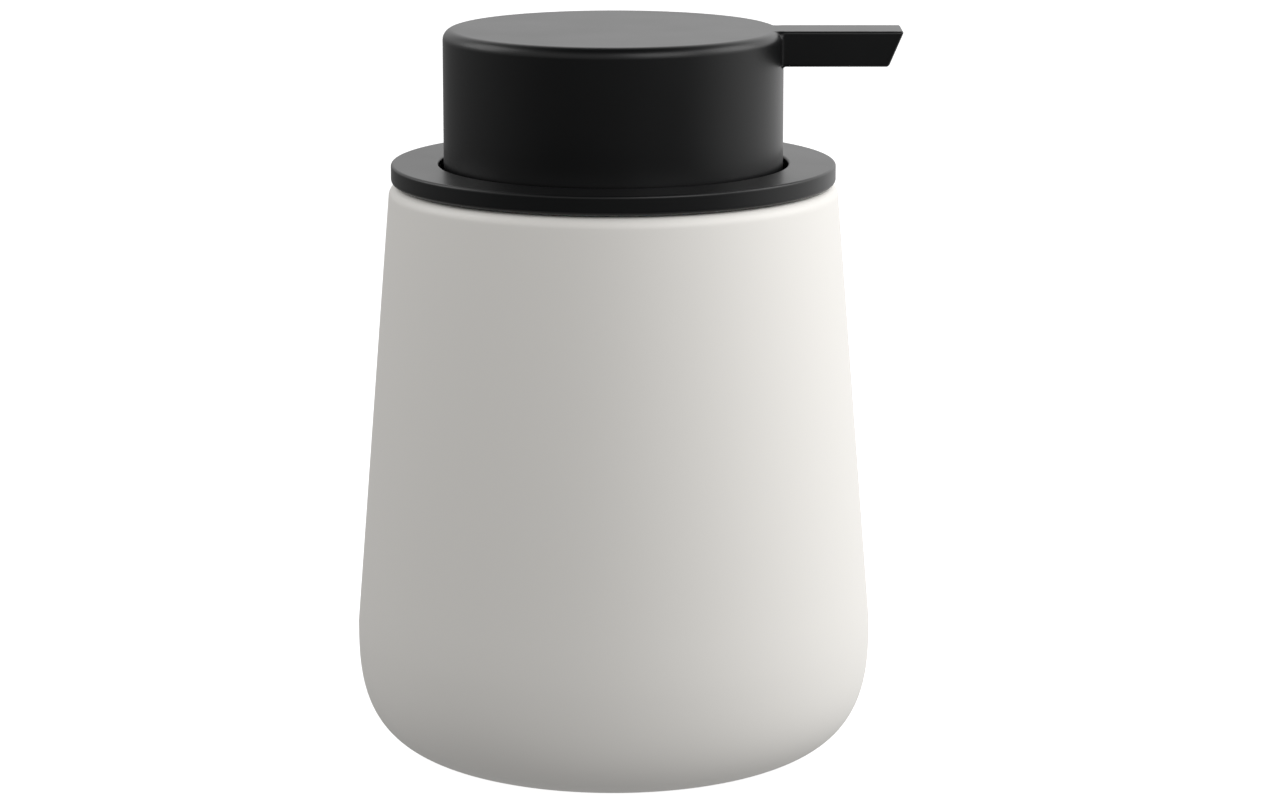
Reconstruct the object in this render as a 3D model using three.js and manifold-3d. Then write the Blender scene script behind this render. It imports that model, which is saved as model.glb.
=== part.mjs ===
// Countertop soap pump dispenser: a ceramic bottle with a plug-in pump whose wide cap sinks into a well in the collar.
// Millimetres, +Z up. The origin is on the vertical axis, at the centre of the underside of the anti-slip pad.
// The spout points along +X.

import * as THREE from "three";
import { mergeVertices } from "three/addons/utils/BufferGeometryUtils.js";
import Module from "manifold-3d";

const wasm = await Module();
wasm.setup();

// ---------------------------------------------------------------- fits and mesh fineness
const restGap = 0.1; // between faces that rest on each other
const snugGap = 0.2; // round a piece that is pressed or pushed into another
const slideGap = 0.2; // round a piece that slides in a bore
const looseGap = 0.4; // round a piece that passes through with room to spare
const wideSides = 48; // sides of the large round pieces
const midSides = 24; // sides of the pump's round pieces
const fineSides = 16; // sides of small bores and balls
const cutExtra = 1; // how far a cutting body runs past what it cuts

// ---------------------------------------------------------------- anti-slip pad
const padRadius = 19.2;
const padThickness = 1.4;
const padProud = 0.5; // how far the pad stands below the ceramic foot
const padEdge = 0.3;

// ---------------------------------------------------------------- bottle
const bottleRadius = 40;
const bottleHeight = 89.2; // ceramic alone, from foot to rim
const bellyHeight = 20.3; // where the bottle is widest, above the foot
const footRim = 1.4; // ring of ceramic that stands round the pad's recess
const rimRound = 1.8;
const lipRound = 0.6; // inner edge of the mouth
const bottleWall = 4;
const throatWall = 4;
const throatDepth = 15;
const bottleFloor = 4.8;
const bellyPower = 2.92; // squareness of the rounding between foot and belly

const footZ = padProud;
const rimZ = footZ + bottleHeight;
const bellyZ = footZ + bellyHeight;
const throatZ = rimZ - throatDepth;
const padRecessRadius = padRadius + looseGap;
const footRadius = padRecessRadius + footRim;
const padRecessZ = padThickness + restGap;

// ---------------------------------------------------------------- mouth seal
const sealFlange = 0.85;
const sealSleeve = 0.7;
const sealDrop = 8.6; // how far the sleeve hangs below the rim
const sealLips = 3;
const sealLipHeight = 1.1;
const sealLipReach = 0.65;
const sealMouthGap = 0.25; // the soft lips are drawn just clear of the ceramic

// ---------------------------------------------------------------- collar and pump well
const collarSetback = 0.4; // the collar's edge stands this far inside the bottle's rim
const collarSkin = 1.05;
const collarLip = 0.85;
const collarLipGap = 0.3; // shadow gap between the collar's edge and the ceramic
const collarTopRound = 0.4;
const collarFootRound = 0.5;
const capClearance = 0.8; // between the cap and the collar's opening
const wellFlange = 1.05;
const wellWall = 1.5;
const wellSetback = 0.4; // the well's wall stands this far behind the collar's opening
const wellFloor = 1.8;

// ---------------------------------------------------------------- cap and spout
const stroke = 12;
const capRadius = 26;
const capHeight = 23;
const capSunk = 2.5; // how far the cap's edge hangs below the collar's face at rest
const capWall = 1.8;
const capTop = 1.6;
const capRound = 1.6;
const capInnerRound = 0.8;
const capFloorGap = 1.4; // left under the cap's edge at full stroke
const spoutReach = 44.1;
const spoutWidth = 9;
const spoutHeight = 5.4;
const spoutSlant = 2.3; // how far the tip's lower edge is cut back
const spoutRound = 0.45;
const ribCount = 6;
const ribThickness = 1;
const ribHeight = 2.6;
const gripRingWall = 1.2; // ring under the cap that holds the nozzle core
const gripRingDrop = 4;

// ---------------------------------------------------------------- nozzle core
const coreTubeRadius = 1.35;
const coreBoreRadius = 0.85;
const coreTubeReach = 33;
const tipBoreRadius = 1;
const coreWall = 1.6;
const stemGrip = 5.6; // how much of the stem the core's socket takes

// ---------------------------------------------------------------- stem, piston and valves
const stemRadius = 4;
const stemBore = 1.5;
const stemLength = 29.9;
const stemChamber = 2.8;
const outletBallRadius = 2.2;
const seatRise = 0.83; // rise of a ball seat's cone for each millimetre of radius
const outletSeatDepth = 7; // from the stem's top down to its ball seat
const ballStopRadius = 1.2;
const inletBallRadius = 2.5;
const inletSeatBore = 1.6;
const inletChamber = 4;
const inletLift = 1.3;
const rodRadius = 1.8;
const rodBore = 1;
const rodGrip = 6.2; // length of rod inside the stem
const rodFlange = 1.4;
const rodFlangeRadius = 5;
const pistonHeight = 4;
const pistonWaist = 0.7; // how far the piston's middle stands back from its lips
const pistonLip = 1.1;

// ---------------------------------------------------------------- pump housing and closure
const barrelBore = 6;
const barrelWall = 1.2;
const barrelFlange = 1.4;
const neckWall = 4.2;
const neckEdge = 0.6; // how far the gasket and the barrel's flange stand back from the neck's edge
const neckHeight = 7;
const gasketThickness = 1.2;
const guidePlug = 4.4; // how far the stem guide reaches into the barrel
const guideFlange = 1.7;
const guideFlangeReach = 2.3; // beyond the barrel's bore
const guideTower = 1.4;
const guideTowerWall = 1.4;
const closureWall = 2.2;
const closurePlate = 1.4;
const closureFlutes = 24;
const fluteDepth = 0.5;
const threadBead = 0.7;
const threadGap = 0.3; // between the neck's thread and the closure's wall
const threadPitch = 3.2;
const threadTurns = 1.25;
const springWire = 0.45; // radius
const springGap = 0.95; // between the coil and the barrel
const springLength = 20;
const springTurns = 6;
const cageFlange = 1.4;
const cageDrop = 1.4;
const cageSlot = 1.5;

// ---------------------------------------------------------------- dip tube
const tubeRadius = 3;
const tubeBore = 2.2;
const tubeSocket = 8;
const tubeFloorGap = 3.2;
const tubeCutAngle = 0.5; // radians, of the slanted lower end

// ---------------------------------------------------------------- heights and radii that follow from the above
const sealZ = rimZ + restGap;
const wellFlangeZ = sealZ + sealFlange + restGap;
const collarSkinZ = wellFlangeZ + wellFlange + restGap;
const collarZ = collarSkinZ + collarSkin;
const openingRadius = capRadius + capClearance;
const wellRadius = openingRadius + wellSetback;
const wellOuter = wellRadius + wellWall;
const sealSleeveOuter = wellOuter + snugGap + sealSleeve;
const throatRadius = sealSleeveOuter + sealLipReach + sealMouthGap;
const rimRadius = throatRadius + throatWall;
const collarRadius = rimRadius - collarSetback;
const flangeOuter = collarRadius - collarLip - looseGap;
const capZ = collarZ - capSunk;
const capTopZ = capZ + capHeight;
const capUnder = capTopZ - capTop;
const barrelOuter = barrelBore + barrelWall;
const springRadius = barrelBore - springGap - springWire;
const neckRadius = barrelOuter + looseGap + neckWall;
const barrelFlangeRadius = neckRadius - neckEdge;
const closureBore = neckRadius + threadBead + threadGap;
const closureRadius = closureBore + closureWall;
const guideFlangeRadius = barrelBore + guideFlangeReach;
const guideTowerRadius = stemRadius + slideGap + guideTowerWall;
const wellFloorZ = capZ - stroke - capFloorGap;
const neckZ = wellFloorZ + neckHeight;
const gasketZ = neckZ + restGap;
const barrelFlangeZ = gasketZ + gasketThickness + restGap;
const barrelTop = barrelFlangeZ + barrelFlange;
const closurePlateZ = barrelTop + restGap;
const closureTop = closurePlateZ + closurePlate;
const guideTop = barrelTop + restGap + guideFlange + guideTower;
const coreSocketZ = guideTop + stroke + 2 * restGap;
const stemTop = coreSocketZ + stemGrip;
const stemFoot = stemTop - stemLength;
const pistonZ = stemFoot - restGap - pistonHeight;
const rodFlangeZ = pistonZ - restGap - rodFlange;
const springZ = rodFlangeZ - restGap - springLength;
const cageZ = springZ - restGap - cageFlange;
const barrelFoot = cageZ - restGap;
const inletSeatZ = barrelFoot - cageDrop - restGap - inletLift - ballAbove(inletBallRadius, inletSeatBore);
const tubeTop = inletSeatZ - 1.6;
const socketFoot = tubeTop - tubeSocket;
const tubeFoot = footZ + bottleFloor + tubeFloorGap;
const spoutFoot = capTopZ - spoutHeight; // the spout's top is level with the cap's
const coreTubeZ = capUnder - restGap - coreTubeRadius;
const coreSocketRadius = stemRadius + snugGap + coreWall;
const outletSeatZ = stemTop - outletSeatDepth;

// Height of a ball's centre over the narrow end of the cone that it rests on.
function ballCentre(ball, bore) {
  const slant = Math.hypot(1, seatRise);
  return (ball + restGap) * slant - bore * seatRise;
}

// Height of a ball's top over the narrow end of its seat.
function ballAbove(ball, bore) {
  return ballCentre(ball, bore) + ball;
}

// ---------------------------------------------------------------- shape helpers
// Points of an arc in a profile, angles in degrees from +r towards +z.
function arc(r, z, radius, from, to, steps = 4) {
  return Array.from({ length: steps + 1 }, (_, i) => {
    const a = THREE.MathUtils.degToRad(from + ((to - from) * i) / steps);
    return [r + radius * Math.cos(a), z + radius * Math.sin(a)];
  });
}

// Points of a squarish quarter round that starts flat at (r0, z0) and ends upright at (r1, z1).
function bellyCurve(r0, z0, r1, z1, steps) {
  return Array.from({ length: steps + 1 }, (_, i) => {
    const a = (Math.PI / 2) * (i / steps);
    const across = Math.sin(a) ** (2 / bellyPower);
    const up = 1 - Math.cos(a) ** (2 / bellyPower);
    return [r0 + (r1 - r0) * across, z0 + (z1 - z0) * up];
  });
}

// Turns a profile of [radius, height] points, listed anticlockwise, about +Z.
function turned(profile, sides, closed = true) {
  const points = profile.map(([r, z]) => new THREE.Vector2(r, z));
  if (closed) points.push(points[0].clone());
  return new THREE.LatheGeometry(points, sides).rotateX(Math.PI / 2);
}

// A profile that starts and ends on the axis.
const solidTurned = (profile, sides) => turned(profile, sides, false);

// A tube from z0 to z1.
function ring(inner, outer, z0, z1, sides) {
  return turned([[inner, z0], [outer, z0], [outer, z1], [inner, z1]], sides);
}

function rod(radius, z0, z1, sides) {
  return new THREE.CylinderGeometry(radius, radius, z1 - z0, sides)
    .rotateX(Math.PI / 2)
    .translate(0, 0, (z0 + z1) / 2);
}

// A round bar along +X.
function bar(radius, x0, x1, z, sides) {
  return new THREE.CylinderGeometry(radius, radius, x1 - x0, sides)
    .rotateZ(Math.PI / 2)
    .translate((x0 + x1) / 2, 0, z);
}

function block(x0, x1, y0, y1, z0, z1) {
  return new THREE.BoxGeometry(x1 - x0, y1 - y0, z1 - z0)
    .translate((x0 + x1) / 2, (y0 + y1) / 2, (z0 + z1) / 2);
}

// A wire of round section along a helix about +Z whose height is given by rise(t), with t from 0 to 1.
class Helix extends THREE.Curve {
  constructor(radius, turns, rise) {
    super();
    Object.assign(this, { radius, turns, rise });
  }
  getPoint(t, target = new THREE.Vector3()) {
    const a = 2 * Math.PI * this.turns * t;
    return target.set(this.radius * Math.cos(a), this.radius * Math.sin(a), this.rise(t));
  }
}

function coil(wire, radius, turns, rise, stepsPerTurn, sides) {
  const section = new THREE.Shape(
    Array.from({ length: sides }, (_, i) => {
      const a = (2 * Math.PI * i) / sides;
      return new THREE.Vector2(wire * Math.cos(a), wire * Math.sin(a));
    }),
  );
  return new THREE.ExtrudeGeometry(section, {
    extrudePath: new Helix(radius, turns, rise),
    steps: Math.round(turns * stepsPerTurn),
    bevelEnabled: false,
  });
}

// ---------------------------------------------------------------- joining and cutting
function solid(geometry) {
  const bare = geometry.clone();
  bare.deleteAttribute("normal");
  bare.deleteAttribute("uv");
  const merged = mergeVertices(bare, 1e-4);
  return new wasm.Manifold(
    new wasm.Mesh({
      numProp: 3,
      vertProperties: merged.attributes.position.array,
      triVerts: new Uint32Array(merged.index.array),
    }),
  );
}

function geometry(made) {
  const mesh = made.getMesh();
  return new THREE.BufferGeometry()
    .setAttribute("position", new THREE.BufferAttribute(mesh.vertProperties, 3))
    .setIndex(new THREE.BufferAttribute(mesh.triVerts, 1));
}

// The first geometry with the added ones joined on and then the cut ones taken away.
function carve(base, { add = [], cut = [] }) {
  let made = solid(base);
  for (const g of add) made = made.add(solid(g));
  for (const g of cut) made = made.subtract(solid(g));
  return geometry(made);
}

// ---------------------------------------------------------------- the pieces
function bottle() {
  const innerFloor = footZ + bottleFloor;
  const innerBelly = bottleRadius - bottleWall;
  const upright = (z) => {
    const share = (z - bellyZ) / (rimZ - rimRound - bellyZ);
    return bottleRadius - (bottleRadius - rimRadius) * share;
  };
  const shoulderZ = throatZ - 4;
  return solidTurned(
    [
      [0, padRecessZ],
      [padRecessRadius, padRecessZ],
      [padRecessRadius, footZ],
      ...bellyCurve(footRadius, footZ, bottleRadius, bellyZ, 9),
      ...arc(rimRadius - rimRound, rimZ - rimRound, rimRound, 0, 90, 3),
      ...arc(throatRadius + lipRound, rimZ - lipRound, lipRound, 90, 180, 2),
      [throatRadius, throatZ],
      [upright(shoulderZ) - bottleWall, shoulderZ],
      ...bellyCurve(footRadius, innerFloor, innerBelly, bellyZ, 5).reverse(),
      [0, innerFloor],
    ],
    wideSides,
  );
}

function footPad() {
  return solidTurned(
    [
      [0, 0],
      ...arc(padRadius - padEdge, padEdge, padEdge, -90, 0, 2),
      [padRadius, padThickness],
      [0, padThickness],
    ],
    wideSides,
  );
}

// An L-shaped ring: a flange on the rim and a sleeve with soft lips inside the mouth.
function mouthSeal() {
  const inner = wellOuter + snugGap;
  const sleeve = sealSleeveOuter;
  const lipTip = sleeve + sealLipReach;
  const lipPitch = (sealDrop - sealLipHeight) / sealLips;
  const lips = Array.from({ length: sealLips }, (_, i) => {
    const z = rimZ - sealDrop + lipPitch * (i + 0.2);
    return [[sleeve, z], [lipTip, z + sealLipHeight * 0.7], [lipTip, z + sealLipHeight], [sleeve, z + sealLipHeight]];
  }).flat();
  return turned(
    [
      [inner, rimZ - sealDrop],
      [sleeve, rimZ - sealDrop],
      ...lips,
      [sleeve, sealZ],
      [flangeOuter, sealZ],
      [flangeOuter, sealZ + sealFlange],
      [inner, sealZ + sealFlange],
    ],
    wideSides,
  );
}

// The visible ring: a shallow disc with a turned-down edge that covers the flanges below.
function collarRing() {
  const lipInner = collarRadius - collarLip;
  const lipZ = rimZ + collarLipGap;
  return turned(
    [
      [lipInner, lipZ],
      ...arc(collarRadius - collarFootRound, lipZ + collarFootRound, collarFootRound, -90, 0, 2),
      ...arc(collarRadius - collarTopRound, collarZ - collarTopRound, collarTopRound, 0, 90, 2),
      ...arc(openingRadius + collarTopRound, collarZ - collarTopRound, collarTopRound, 90, 180, 2),
      [openingRadius, collarSkinZ],
      [lipInner, collarSkinZ],
    ],
    wideSides,
  );
}

// The thread's bead, with its centre line on the given radius. Half a pitch apart, two beads engage without touching.
function thread(radius, shift) {
  const height = threadPitch * threadTurns;
  const start = neckZ - height - threadBead - 0.6 + shift;
  return coil(threadBead, radius, threadTurns, (t) => start + height * t, 16, 6);
}

// The cup that the cap sinks into, with the threaded neck that carries the pump.
function pumpWell() {
  const bore = barrelOuter + looseGap;
  const cup = turned(
    [
      [bore, wellFloorZ - wellFloor],
      [wellOuter, wellFloorZ - wellFloor],
      [wellOuter, wellFlangeZ],
      [flangeOuter, wellFlangeZ],
      [flangeOuter, wellFlangeZ + wellFlange],
      [wellRadius, wellFlangeZ + wellFlange],
      [wellRadius, wellFloorZ],
      [neckRadius, wellFloorZ],
      [neckRadius, neckZ],
      [bore, neckZ],
    ],
    wideSides,
  );
  return carve(cup, { add: [thread(neckRadius, 0)] });
}

function neckGasket() {
  return ring(barrelOuter + snugGap, barrelFlangeRadius, gasketZ, gasketZ + gasketThickness, midSides);
}

// The screw closure: a fluted nut whose plate clamps the housing's flange on the neck.
function closureNut() {
  const foot = wellFloorZ + restGap + looseGap;
  const outline = new THREE.Shape(
    Array.from({ length: closureFlutes * 4 }, (_, i) => {
      const a = (2 * Math.PI * i) / (closureFlutes * 4);
      const r = closureRadius - fluteDepth * (0.5 - 0.5 * Math.cos(closureFlutes * a));
      return new THREE.Vector2(r * Math.cos(a), r * Math.sin(a));
    }),
  );
  const body = new THREE.ExtrudeGeometry(outline, { depth: closureTop - foot, bevelEnabled: false })
    .translate(0, 0, foot);
  const hollow = solidTurned(
    [
      [0, foot - cutExtra],
      [closureBore, foot - cutExtra],
      [closureBore, closurePlateZ],
      [guideFlangeRadius + looseGap, closurePlateZ],
      [guideFlangeRadius + looseGap, closureTop + cutExtra],
      [0, closureTop + cutExtra],
    ],
    wideSides,
  );
  const shell = solid(body).subtract(solid(hollow));
  return geometry(shell.add(solid(thread(closureBore, threadPitch / 2))));
}

// The pump's barrel: flange on top, ball seat at the foot and a socket for the dip tube.
function pumpHousing() {
  const seatTop = inletSeatZ + (inletChamber - inletSeatBore) * seatRise;
  const socketBore = tubeRadius + snugGap / 2;
  const socketOuter = socketBore + barrelWall;
  return turned(
    [
      [socketBore, socketFoot],
      [socketOuter, socketFoot],
      [socketOuter, inletSeatZ - barrelWall],
      [inletChamber + barrelWall, seatTop],
      [inletChamber + barrelWall, barrelFoot - 2 * barrelWall],
      [barrelOuter, barrelFoot],
      [barrelOuter, barrelFlangeZ],
      [barrelFlangeRadius, barrelFlangeZ],
      [barrelFlangeRadius, barrelTop],
      [barrelBore, barrelTop],
      [barrelBore, barrelFoot],
      [inletChamber, barrelFoot],
      [inletChamber, seatTop],
      [inletSeatBore, inletSeatZ],
      [inletSeatBore, tubeTop + restGap],
      [socketBore, tubeTop + restGap],
    ],
    midSides,
  );
}

// Closes the barrel and guides the stem.
function stemGuide() {
  const bore = stemRadius + slideGap;
  const plug = barrelBore - snugGap;
  const flangeZ = barrelTop + restGap;
  return turned(
    [
      [bore, barrelTop - guidePlug],
      [plug, barrelTop - guidePlug],
      [plug, flangeZ],
      [guideFlangeRadius, flangeZ],
      [guideFlangeRadius, flangeZ + guideFlange],
      [guideTowerRadius, flangeZ + guideFlange],
      [guideTowerRadius, guideTop],
      [bore, guideTop],
    ],
    midSides,
  );
}

function dipTube() {
  const slope = Math.tan(tubeCutAngle) * (tubeRadius + cutExtra);
  const wedge = new THREE.Shape([
    new THREE.Vector2(-tubeRadius - cutExtra, tubeFoot - cutExtra),
    new THREE.Vector2(tubeRadius + cutExtra, tubeFoot - cutExtra),
    new THREE.Vector2(tubeRadius + cutExtra, tubeFoot + 2 * slope),
    new THREE.Vector2(-tubeRadius - cutExtra, tubeFoot),
  ]);
  const cutter = new THREE.ExtrudeGeometry(wedge, { depth: 4 * tubeRadius, bevelEnabled: false })
    .rotateX(Math.PI / 2)
    .translate(0, 2 * tubeRadius, 0);
  return carve(ring(tubeBore, tubeRadius, tubeFoot, tubeTop, midSides), { cut: [cutter] });
}

// Sits in the barrel's foot, carries the spring and keeps the inlet ball in its chamber.
function ballCage() {
  const disc = turned(
    [
      [inletSeatBore, cageZ - cageDrop],
      [inletChamber - snugGap, cageZ - cageDrop],
      [inletChamber - snugGap, cageZ],
      [barrelBore - snugGap, cageZ],
      [barrelBore - snugGap, cageZ + cageFlange],
      [inletSeatBore, cageZ + cageFlange],
    ],
    midSides,
  );
  const half = cageSlot / 2;
  const slots = [0, 1].map((turn) =>
    block(-inletChamber - cutExtra, inletChamber + cutExtra, -half, half, cageZ - 2 * cageDrop, cageZ - restGap)
      .rotateZ((turn * Math.PI) / 2),
  );
  return carve(disc, { cut: slots });
}

// Height of the spring's wire along the coil: closed at both ends, open between.
function springRise(t) {
  const closed = 1 / springTurns;
  const closedRise = 2 * springWire + restGap;
  const open = springLength - 2 * springWire - 2 * closedRise;
  const first = Math.min(t, closed) / closed;
  const middle = THREE.MathUtils.clamp((t - closed) / (1 - 2 * closed), 0, 1);
  const last = Math.max(t - (1 - closed), 0) / closed;
  return springZ + springWire + closedRise * (first + last) + open * middle;
}

const returnSpring = () => coil(springWire, springRadius, springTurns, springRise, 16, 6);

function ball(radius, seatZ, bore) {
  return new THREE.SphereGeometry(radius, fineSides, fineSides / 2)
    .rotateX(Math.PI / 2)
    .translate(0, 0, seatZ + ballCentre(radius, bore));
}

// A hollow shaft: a socket for the rod below, a ball seat and chamber above.
function stem() {
  const socket = rodRadius + snugGap;
  const seatTop = outletSeatZ + (stemChamber - stemBore) * seatRise;
  const socketTop = stemFoot + rodGrip + restGap;
  return turned(
    [
      [socket, stemFoot],
      [stemRadius, stemFoot],
      [stemRadius, stemTop],
      [stemChamber, stemTop],
      [stemChamber, seatTop],
      [stemBore, outletSeatZ],
      [stemBore, socketTop],
      [socket, socketTop],
    ],
    midSides,
  );
}

// A hollow rivet that holds the piston under the stem and takes the spring.
function pistonRod() {
  return turned(
    [
      [rodBore, rodFlangeZ],
      [rodFlangeRadius, rodFlangeZ],
      [rodFlangeRadius, rodFlangeZ + rodFlange],
      [rodRadius, rodFlangeZ + rodFlange],
      [rodRadius, stemFoot + rodGrip],
      [rodBore, stemFoot + rodGrip],
    ],
    midSides,
  );
}

// A soft ring with a lip above and below that wipes the barrel.
function pistonSeal() {
  const lip = barrelBore - slideGap;
  const top = pistonZ + pistonHeight;
  return turned(
    [
      [rodRadius + snugGap, pistonZ],
      [lip - pistonWaist, pistonZ],
      [lip, pistonZ + 0.2 * pistonLip],
      [lip, pistonZ + pistonLip],
      [lip - pistonWaist, pistonZ + 1.5 * pistonLip],
      [lip - pistonWaist, top - 1.5 * pistonLip],
      [lip, top - pistonLip],
      [lip, top - 0.2 * pistonLip],
      [lip - pistonWaist, top],
      [rodRadius + snugGap, top],
    ],
    midSides,
  );
}

// The spout's outline across its length, with rounded edges, drawn about its own centre.
function spoutSection() {
  const y = spoutWidth / 2 - spoutRound;
  const z = spoutHeight / 2 - spoutRound;
  return new THREE.Shape(
    [
      ...arc(y, -z, spoutRound, -90, 0, 3),
      ...arc(y, z, spoutRound, 0, 90, 3),
      ...arc(-y, z, spoutRound, 90, 180, 3),
      ...arc(-y, -z, spoutRound, 180, 270, 3),
    ].map(([a, b]) => new THREE.Vector2(a, b)),
  );
}

// A bar from inside the skirt to the slanted tip.
function spoutBar() {
  const start = capRadius - capWall - capInnerRound;
  const long = new THREE.ExtrudeGeometry(spoutSection(), { depth: spoutReach - start, bevelEnabled: false })
    .rotateX(Math.PI / 2)
    .rotateZ(Math.PI / 2)
    .translate(start, 0, capTopZ - spoutHeight / 2);
  const lean = spoutSlant / spoutHeight;
  const slice = new THREE.Shape([
    new THREE.Vector2(spoutReach + lean * cutExtra, capTopZ + cutExtra),
    new THREE.Vector2(spoutReach - spoutSlant - lean * cutExtra, spoutFoot - cutExtra),
    new THREE.Vector2(spoutReach + spoutSlant, spoutFoot - cutExtra),
    new THREE.Vector2(spoutReach + spoutSlant, capTopZ + cutExtra),
  ]);
  const cutter = new THREE.ExtrudeGeometry(slice, { depth: 2 * spoutWidth, bevelEnabled: false })
    .rotateX(Math.PI / 2)
    .translate(0, spoutWidth, 0);
  return carve(long, { cut: [cutter] });
}

// The wide cap with its spout, ribs, and the ring that grips the nozzle core.
function pumpCap() {
  const inner = capRadius - capWall;
  const gripInner = coreSocketRadius + snugGap;
  const gripOuter = gripInner + gripRingWall;
  const shell = solidTurned(
    [
      [0, capUnder],
      ...arc(inner - capInnerRound, capUnder - capInnerRound, capInnerRound, 90, 0, 2),
      [inner, capZ],
      [capRadius, capZ],
      ...arc(capRadius - capRound, capTopZ - capRound, capRound, 0, 90, 4),
      [0, capTopZ],
    ],
    wideSides,
  );
  const grip = ring(gripInner, gripOuter, capUnder - gripRingDrop, capUnder + capTop / 2, midSides);
  const ribs = Array.from({ length: ribCount }, (_, i) => {
    const turn = (2 * Math.PI * (i + 0.5)) / ribCount;
    const half = ribThickness / 2;
    return block(gripOuter - half, inner + half, -half, half, capUnder - ribHeight, capUnder + capTop / 2)
      .rotateZ(turn);
  });
  const channel = coreTubeRadius + snugGap;
  const notch = block(0, gripOuter + 1, -channel, channel, capUnder - gripRingDrop - 1, capUnder);
  return carve(shell, {
    add: [grip, ...ribs, spoutBar()],
    cut: [
      notch,
      bar(channel, gripInner, coreTubeReach + restGap, coreTubeZ, fineSides),
      bar(tipBoreRadius, gripInner, spoutReach + cutExtra, coreTubeZ, fineSides),
    ],
  });
}

// The inner nozzle: a socket on the stem's top and a tube that carries the soap into the spout.
function nozzleCore() {
  const socketBore = stemRadius + snugGap;
  const roof = stemTop + restGap;
  const top = capUnder - restGap;
  const body = rod(coreSocketRadius, coreSocketZ, top, midSides);
  return carve(body, {
    add: [bar(coreTubeRadius, 0, coreTubeReach, coreTubeZ, fineSides)],
    cut: [
      rod(socketBore, coreSocketZ - cutExtra, roof, midSides),
      rod(ballStopRadius, roof - cutExtra, coreTubeZ, fineSides),
      bar(coreBoreRadius, 0, coreTubeReach + cutExtra, coreTubeZ, fineSides),
    ],
  });
}

// ---------------------------------------------------------------- finishes
const finish = (color, roughness, metalness = 0) =>
  new THREE.MeshStandardMaterial({ color, roughness, metalness });
const ceramicWhite = finish(0xe6e3de, 0.55);
const matteBlack = finish(0x1c1d1d, 0.5);
const clearPlastic = finish(0xe9ecea, 0.35);
const whitePlastic = finish(0xf0f0ee, 0.4);
const silicone = finish(0xcfd3d2, 0.6);
const darkRubber = finish(0x2b2b2b, 0.8);
const steel = finish(0xc4c7c9, 0.25, 1);

// ---------------------------------------------------------------- the assembly
const dispenser = new THREE.Group();

function place(name, shape, material) {
  const mesh = new THREE.Mesh(shape, material);
  mesh.name = name;
  dispenser.add(mesh);
}

place("bottle", bottle(), ceramicWhite);
place("foot_pad", footPad(), darkRubber);
place("mouth_seal", mouthSeal(), silicone);
place("collar_ring", collarRing(), matteBlack);
place("pump_well", pumpWell(), matteBlack);
place("neck_gasket", neckGasket(), silicone);
place("closure_nut", closureNut(), matteBlack);
place("pump_housing", pumpHousing(), clearPlastic);
place("stem_guide", stemGuide(), whitePlastic);
place("dip_tube", dipTube(), clearPlastic);
place("ball_cage", ballCage(), whitePlastic);
place("return_spring", returnSpring(), steel);
place("inlet_ball", ball(inletBallRadius, inletSeatZ, inletSeatBore), steel);
place("stem", stem(), whitePlastic);
place("piston_rod", pistonRod(), whitePlastic);
place("piston_seal", pistonSeal(), clearPlastic);
place("outlet_ball", ball(outletBallRadius, outletSeatZ, stemBore), steel);
place("nozzle_core", nozzleCore(), whitePlastic);
place("pump_cap", pumpCap(), matteBlack);

export default dispenser;
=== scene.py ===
import math

import bpy
import numpy as np
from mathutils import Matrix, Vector


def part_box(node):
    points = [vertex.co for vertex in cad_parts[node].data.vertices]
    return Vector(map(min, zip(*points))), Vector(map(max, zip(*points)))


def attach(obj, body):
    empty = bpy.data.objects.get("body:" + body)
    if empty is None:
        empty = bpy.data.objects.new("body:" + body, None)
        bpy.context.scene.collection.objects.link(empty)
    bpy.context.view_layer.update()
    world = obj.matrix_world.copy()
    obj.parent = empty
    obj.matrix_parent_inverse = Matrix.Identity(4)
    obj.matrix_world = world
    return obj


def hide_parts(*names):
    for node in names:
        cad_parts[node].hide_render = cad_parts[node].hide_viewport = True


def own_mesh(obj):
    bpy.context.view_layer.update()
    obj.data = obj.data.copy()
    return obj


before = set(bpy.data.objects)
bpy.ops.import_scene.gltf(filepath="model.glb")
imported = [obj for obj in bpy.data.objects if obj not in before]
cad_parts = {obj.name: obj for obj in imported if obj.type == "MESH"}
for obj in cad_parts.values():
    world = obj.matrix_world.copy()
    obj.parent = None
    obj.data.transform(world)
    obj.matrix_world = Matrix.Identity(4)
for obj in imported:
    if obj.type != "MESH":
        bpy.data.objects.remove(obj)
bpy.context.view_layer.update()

bl_info = {
    "name": "Soap pump dispenser",
    "version": (1, 0, 0),
    "blender": (4, 5, 0),
    "location": "View3D > Sidebar > Dispenser",
    "description": "Builds the fine pieces, finishes and studio of a ceramic soap pump dispenser",
    "category": "Object",
}

MM = 0.001  # every length in this file is in metres

# Fits between the pieces
BED = 0.1 * MM  # between faces that rest on one another
PUSH_FIT = 0.2 * MM
EASY_FIT = 0.4 * MM

# Shapes that several pieces share
SEAT_SLOPE = 0.83  # rise of a ball's seat for each step outwards
NOZZLE_TUBE = 1.35 * MM  # radius of the nozzle core's tube
NECK = 11.8 * MM
NECK_THREAD = 5.3 * MM  # from the thread's start up to the neck's top
THREAD_TURNS = 1.25
THREAD_WIDTH = 0.62  # share of the pitch that the ridge takes up
THREAD_CREST = 0.8  # below 1 gives a blunter crest

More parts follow.
